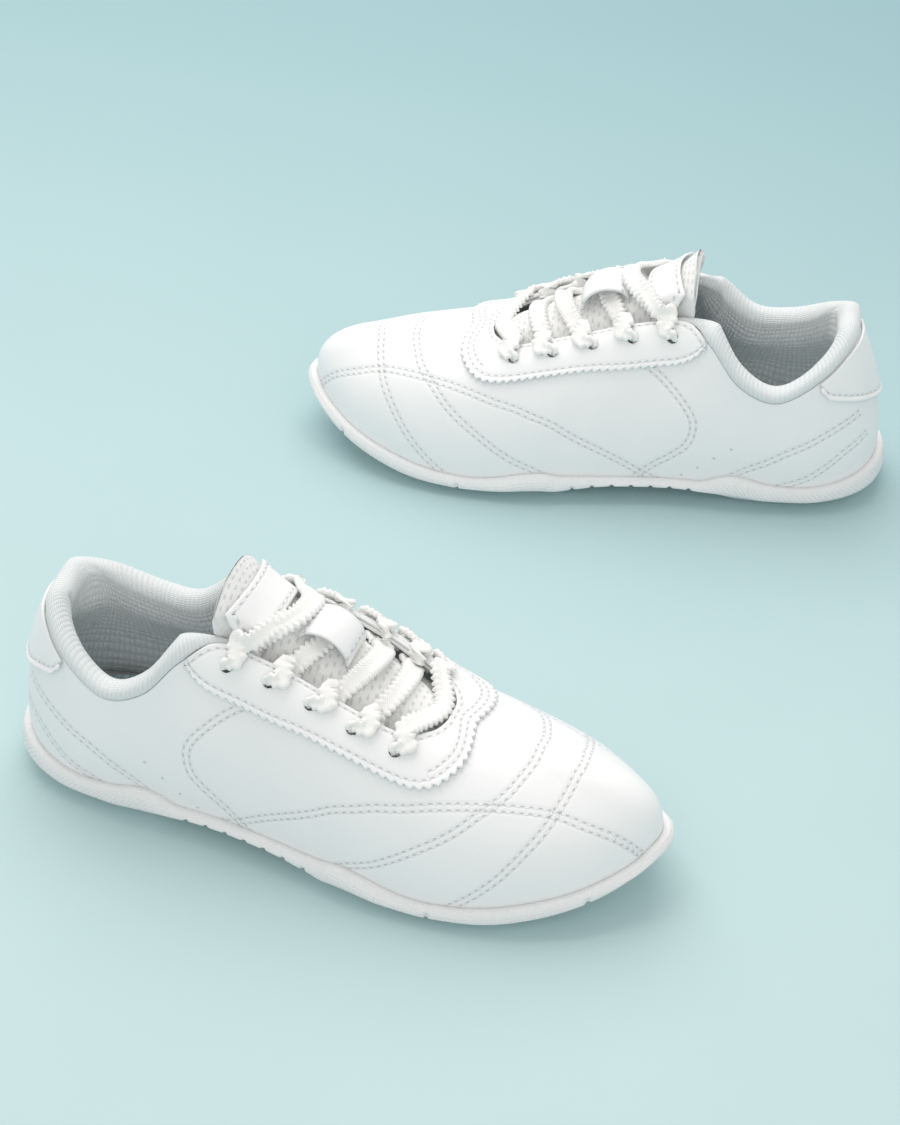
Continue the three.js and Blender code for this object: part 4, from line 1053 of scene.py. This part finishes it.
keeper_shape, flat = laid_grid(24, 70, keeper_point)
to_strap_end = np.minimum(flat[:, 1], 1 - flat[:, 1]) * KEEPER_LENGTH
keep_values(keeper_shape, "strap_end", to_strap_end, flat[:, 0] * 2 * KEEPER_HALF)
strap_leather = leather_finish("lace_keeper_leather", [("strap_end", (1.6,))])
make_pair("lace_keeper", keeper_shape, strap_leather, ["lace_keeper"], body="tongue_flap",
          wall=KEEPER_THICK)

# ------------------------------------------------------------------ laces
# A flat braided lace of two thick cords side by side with knobbly edges. From the bar at the front each half
# goes down its eyelet, under its own throat edge, across the tongue and down into the next eyelet opposite.
LACE_THICK = 2.4
LACE_WIDE = 7.4
LACE_BUNCHED = 4.2
KNOB_PITCH = 2.4
YARN_PITCH = 1.2
LACE_OVER = (0, 3.0, 0.4, 0, 0)     # height of each crossing over the tongue, from the rearmost
LACE_BULGE = (0, 12, 6, 7, 3)       # how far each crossing hangs towards the toe
OUTER_SLACK = 0.3               # steps by which the lace hangs toeward on the outer side


def over_tongue(x, y, off):
    k = float(np.interp(-x, -tongue_curve[:, 0], tongue_run))
    middle = float(np.interp(k, tongue_run, tongue_curve[:, 1]))
    q = (y - middle) / float(along_length(TONGUE_HALF, k))
    up = tongue_normal(np.array([k]), np.array([q]))[0]
    return on_tongue(np.array([k]), np.array([q]))[0] + up * off, up


def lace_half(side):
    """Places, upward directions and widths of one half of the lace, from the front eyelet to its end."""
    way = []
    on_stay = GAP + OVERLAY + GAP + LACE_THICK / 2
    under_edge = -LEATHER - GAP - LACE_THICK / 2 - 0.4
    flip = 1
    s = side
    for i in range(EYELETS - 1, -1, -1):
        u = EYELET_STEPS[i] if s < 0 else STEPS - EYELET_STEPS[i]
        to_toe = -s
        hole = skin(u, below(u, EYELET_INSET))
        n = skin_normal(u, below(u, EYELET_INSET))
        to_edge = unit(skin(u, below(u, 2)) - hole)
        slack = OUTER_SLACK if s > 0 else 0
        lead, half = u + (0.36 + slack) * to_toe, u + (0.26 + slack / 2) * to_toe
        way.append((skin(lead, 1.0, on_stay + 0.8) + to_edge * 1.5, n * flip, LACE_WIDE))
        way.append((skin(half, below(half, 5.4), on_stay + 0.3), n * flip, LACE_WIDE * 0.92))
        way.append((hole + n * (on_stay + 0.1) + to_edge * 0.9, (n - to_edge) * flip, LACE_BUNCHED))
        way.append((hole + n * 0.1, -to_edge * flip, LACE_BUNCHED * 0.85))
        flip = -flip
        way.append((hole + n * under_edge + to_edge * 0.4, (n + to_edge) * flip, LACE_BUNCHED))
        if i == 0:
            # The end is tucked inside the upper.
            for depth, off, ahead in ((16, 6, 0.2), (26, 6.8, 0.6), (34, 7, 1.0)):
                v = u + ahead * to_toe
                way.append((skin(v, below(v, depth), -off), n * flip, LACE_BUNCHED * 0.8))
            break
        back = u - 0.18 * to_toe
        way.append((skin(back, below(back, 1.2), under_edge - 0.2), n * flip, LACE_WIDE * 0.9))
        start = skin(u + (slack - 0.28) * to_toe, 1.0)
        next_u = STEPS - EYELET_STEPS[i - 1] if s < 0 else EYELET_STEPS[i - 1]
        next_slack = 0 if s > 0 else OUTER_SLACK
        goal = skin(next_u - (0.36 + next_slack) * to_toe, 1.0)
        resting = LACE_THICK / 2 + 0.5 + LACE_OVER[i]
        crossing = resting if s * side > 0 else resting + LACE_THICK + GAP
        high = resting * 0.2 + crossing * 0.8
        for part, off in ((0.1, (resting + 1.8) / 2), (0.24, resting), (0.38, high), (0.5, crossing),
                          (0.62, high), (0.76, resting), (0.87, resting + 2.2)):
            place = start + (goal - start) * part
            point, up = over_tongue(place[0] + LACE_BULGE[i] * math.sin(math.pi * part), place[1], off)
            way.append((point, up * flip, LACE_WIDE))
        s = -s
    return way


inner_half, outer_half = lace_half(-1), lace_half(1)
bar_point, _ = over_tongue(EYELET_FIRST + EYELET_PITCH * (EYELETS - 1) + 6.5, 2, 3)
way = [*reversed(inner_half), (bar_point, np.array([0, 0, 1.0]), LACE_WIDE), *outer_half]
lace_curve = open_curve([point for point, _, _ in way], 30)
lace_up = open_curve([unit(up) for _, up, _ in way], 30)
lace_wide = open_curve([(wide, 0, 0) for _, _, wide in way], 30)[:, 0]
lace_run = np.concatenate([[0], np.cumsum(np.linalg.norm(np.diff(lace_curve, axis=0), axis=1))])
LACE_COLUMNS = int(lace_run[-1] / 0.42)
LACE_ROWS = 20


def lace_point(a, b):
    run_here = a * lace_run[-1]

    def read(table):
        return np.column_stack([np.interp(run_here, lace_run, table[:, i]) for i in range(3)])

    centre = read(lace_curve)
    ahead = unit(read(np.gradient(lace_curve, axis=0)))
    across = unit(np.cross(ahead, read(lace_up)))
    up = unit(np.cross(across, ahead))
    wide = np.interp(run_here, lace_run, lace_wide)
    angle = 2 * math.pi * b
    x = np.cos(angle)
    knob = np.sin(2 * math.pi * run_here / KNOB_PITCH + np.where(x > 0, 0, math.pi * 0.7))
    cord = LACE_THICK / 2
    middle = np.maximum(wide / 2 - cord, 0.3)
    from_cord = np.abs(x) * wide / 2 - middle
    lobe = np.sqrt(np.maximum(cord**2 - from_cord**2, 0))
    web = cord * (0.62 + 0.38 * np.abs(x) * wide / 2 / middle)
    lobe = np.where(from_cord < 0, np.maximum(lobe, web), lobe)
    outer = ease(np.abs(x), 0.35, 0.9)
    side = x * wide / 2 * (1 + 0.17 * knob * outer)
    thick = np.where(np.sin(angle) >= 0, 1, -1) * np.minimum(lobe, cord) * (1 + 0.34 * knob * outer)
    thick = np.where((b < 1e-6) | (b > 1 - 1e-6), 0, thick)
    return centre + across * side[:, None] - up * thick[:, None]


lace_shape, flat = laid_grid(LACE_COLUMNS, LACE_ROWS, lace_point)
keep_values(lace_shape, "cord", flat[:, 0] * lace_run[-1], np.cos(flat[:, 1] * 2 * math.pi) * 3.4)

# Braided polyester: soft white yarn in short slanting stitches, with loose fluff, drawn coarser than real.
braid, tree, surface = new_finish("braided_white_yarn", "#f6f6f3", 0.82)
surface.inputs["Sheen Weight"].default_value = 0.3
cord_place = add(tree, "Attribute", attribute_name="cord").outputs["Vector"]
run_side = add(tree, "SeparateXYZ", {0: cord_place}).outputs
from_middle = add(tree, "Math", {0: run_side[1]}, operation="ABSOLUTE").outputs[0]
slope = add(tree, "Math", {0: from_middle, 1: 1.3, 2: run_side[0]}, operation="MULTIPLY_ADD").outputs[0]
turns = add(tree, "Math", {0: slope, 1: 2 * math.pi / YARN_PITCH}, operation="MULTIPLY").outputs[0]
yarns = add(tree, "Math", {0: turns}, operation="SINE").outputs[0]
fluff = add(tree, "TexNoise", {"Vector": add(tree, "Attribute", attribute_name="last").outputs["Vector"],
                               "Scale": 3.0, "Detail": 4.0})
height = add(tree, "Math", {0: yarns, 1: 0.16, 2: fluff.outputs["Fac"]}, operation="MULTIPLY_ADD").outputs[0]
bump = add(tree, "Bump", {"Height": height, "Distance": MILLIMETRE, "Strength": 0.2})
tree.links.new(bump.outputs["Normal"], surface.inputs["Normal"])
# Painted shade: the lace is coloured a little darker in the grooves between the yarns.
low = add(tree, "MapRange", {0: yarns, 1: -1.0, 2: 0.6}).outputs[0]
tint = add(tree, "Mix", {"Factor": low, "A": linear("#f0f1ef"), "B": linear("#fbfbf9")}, data_type="RGBA")
tree.links.new(tint.outputs["Result"], surface.inputs["Base Color"])
make_pair("lace", lace_shape, braid, ["lace"], closes=True)
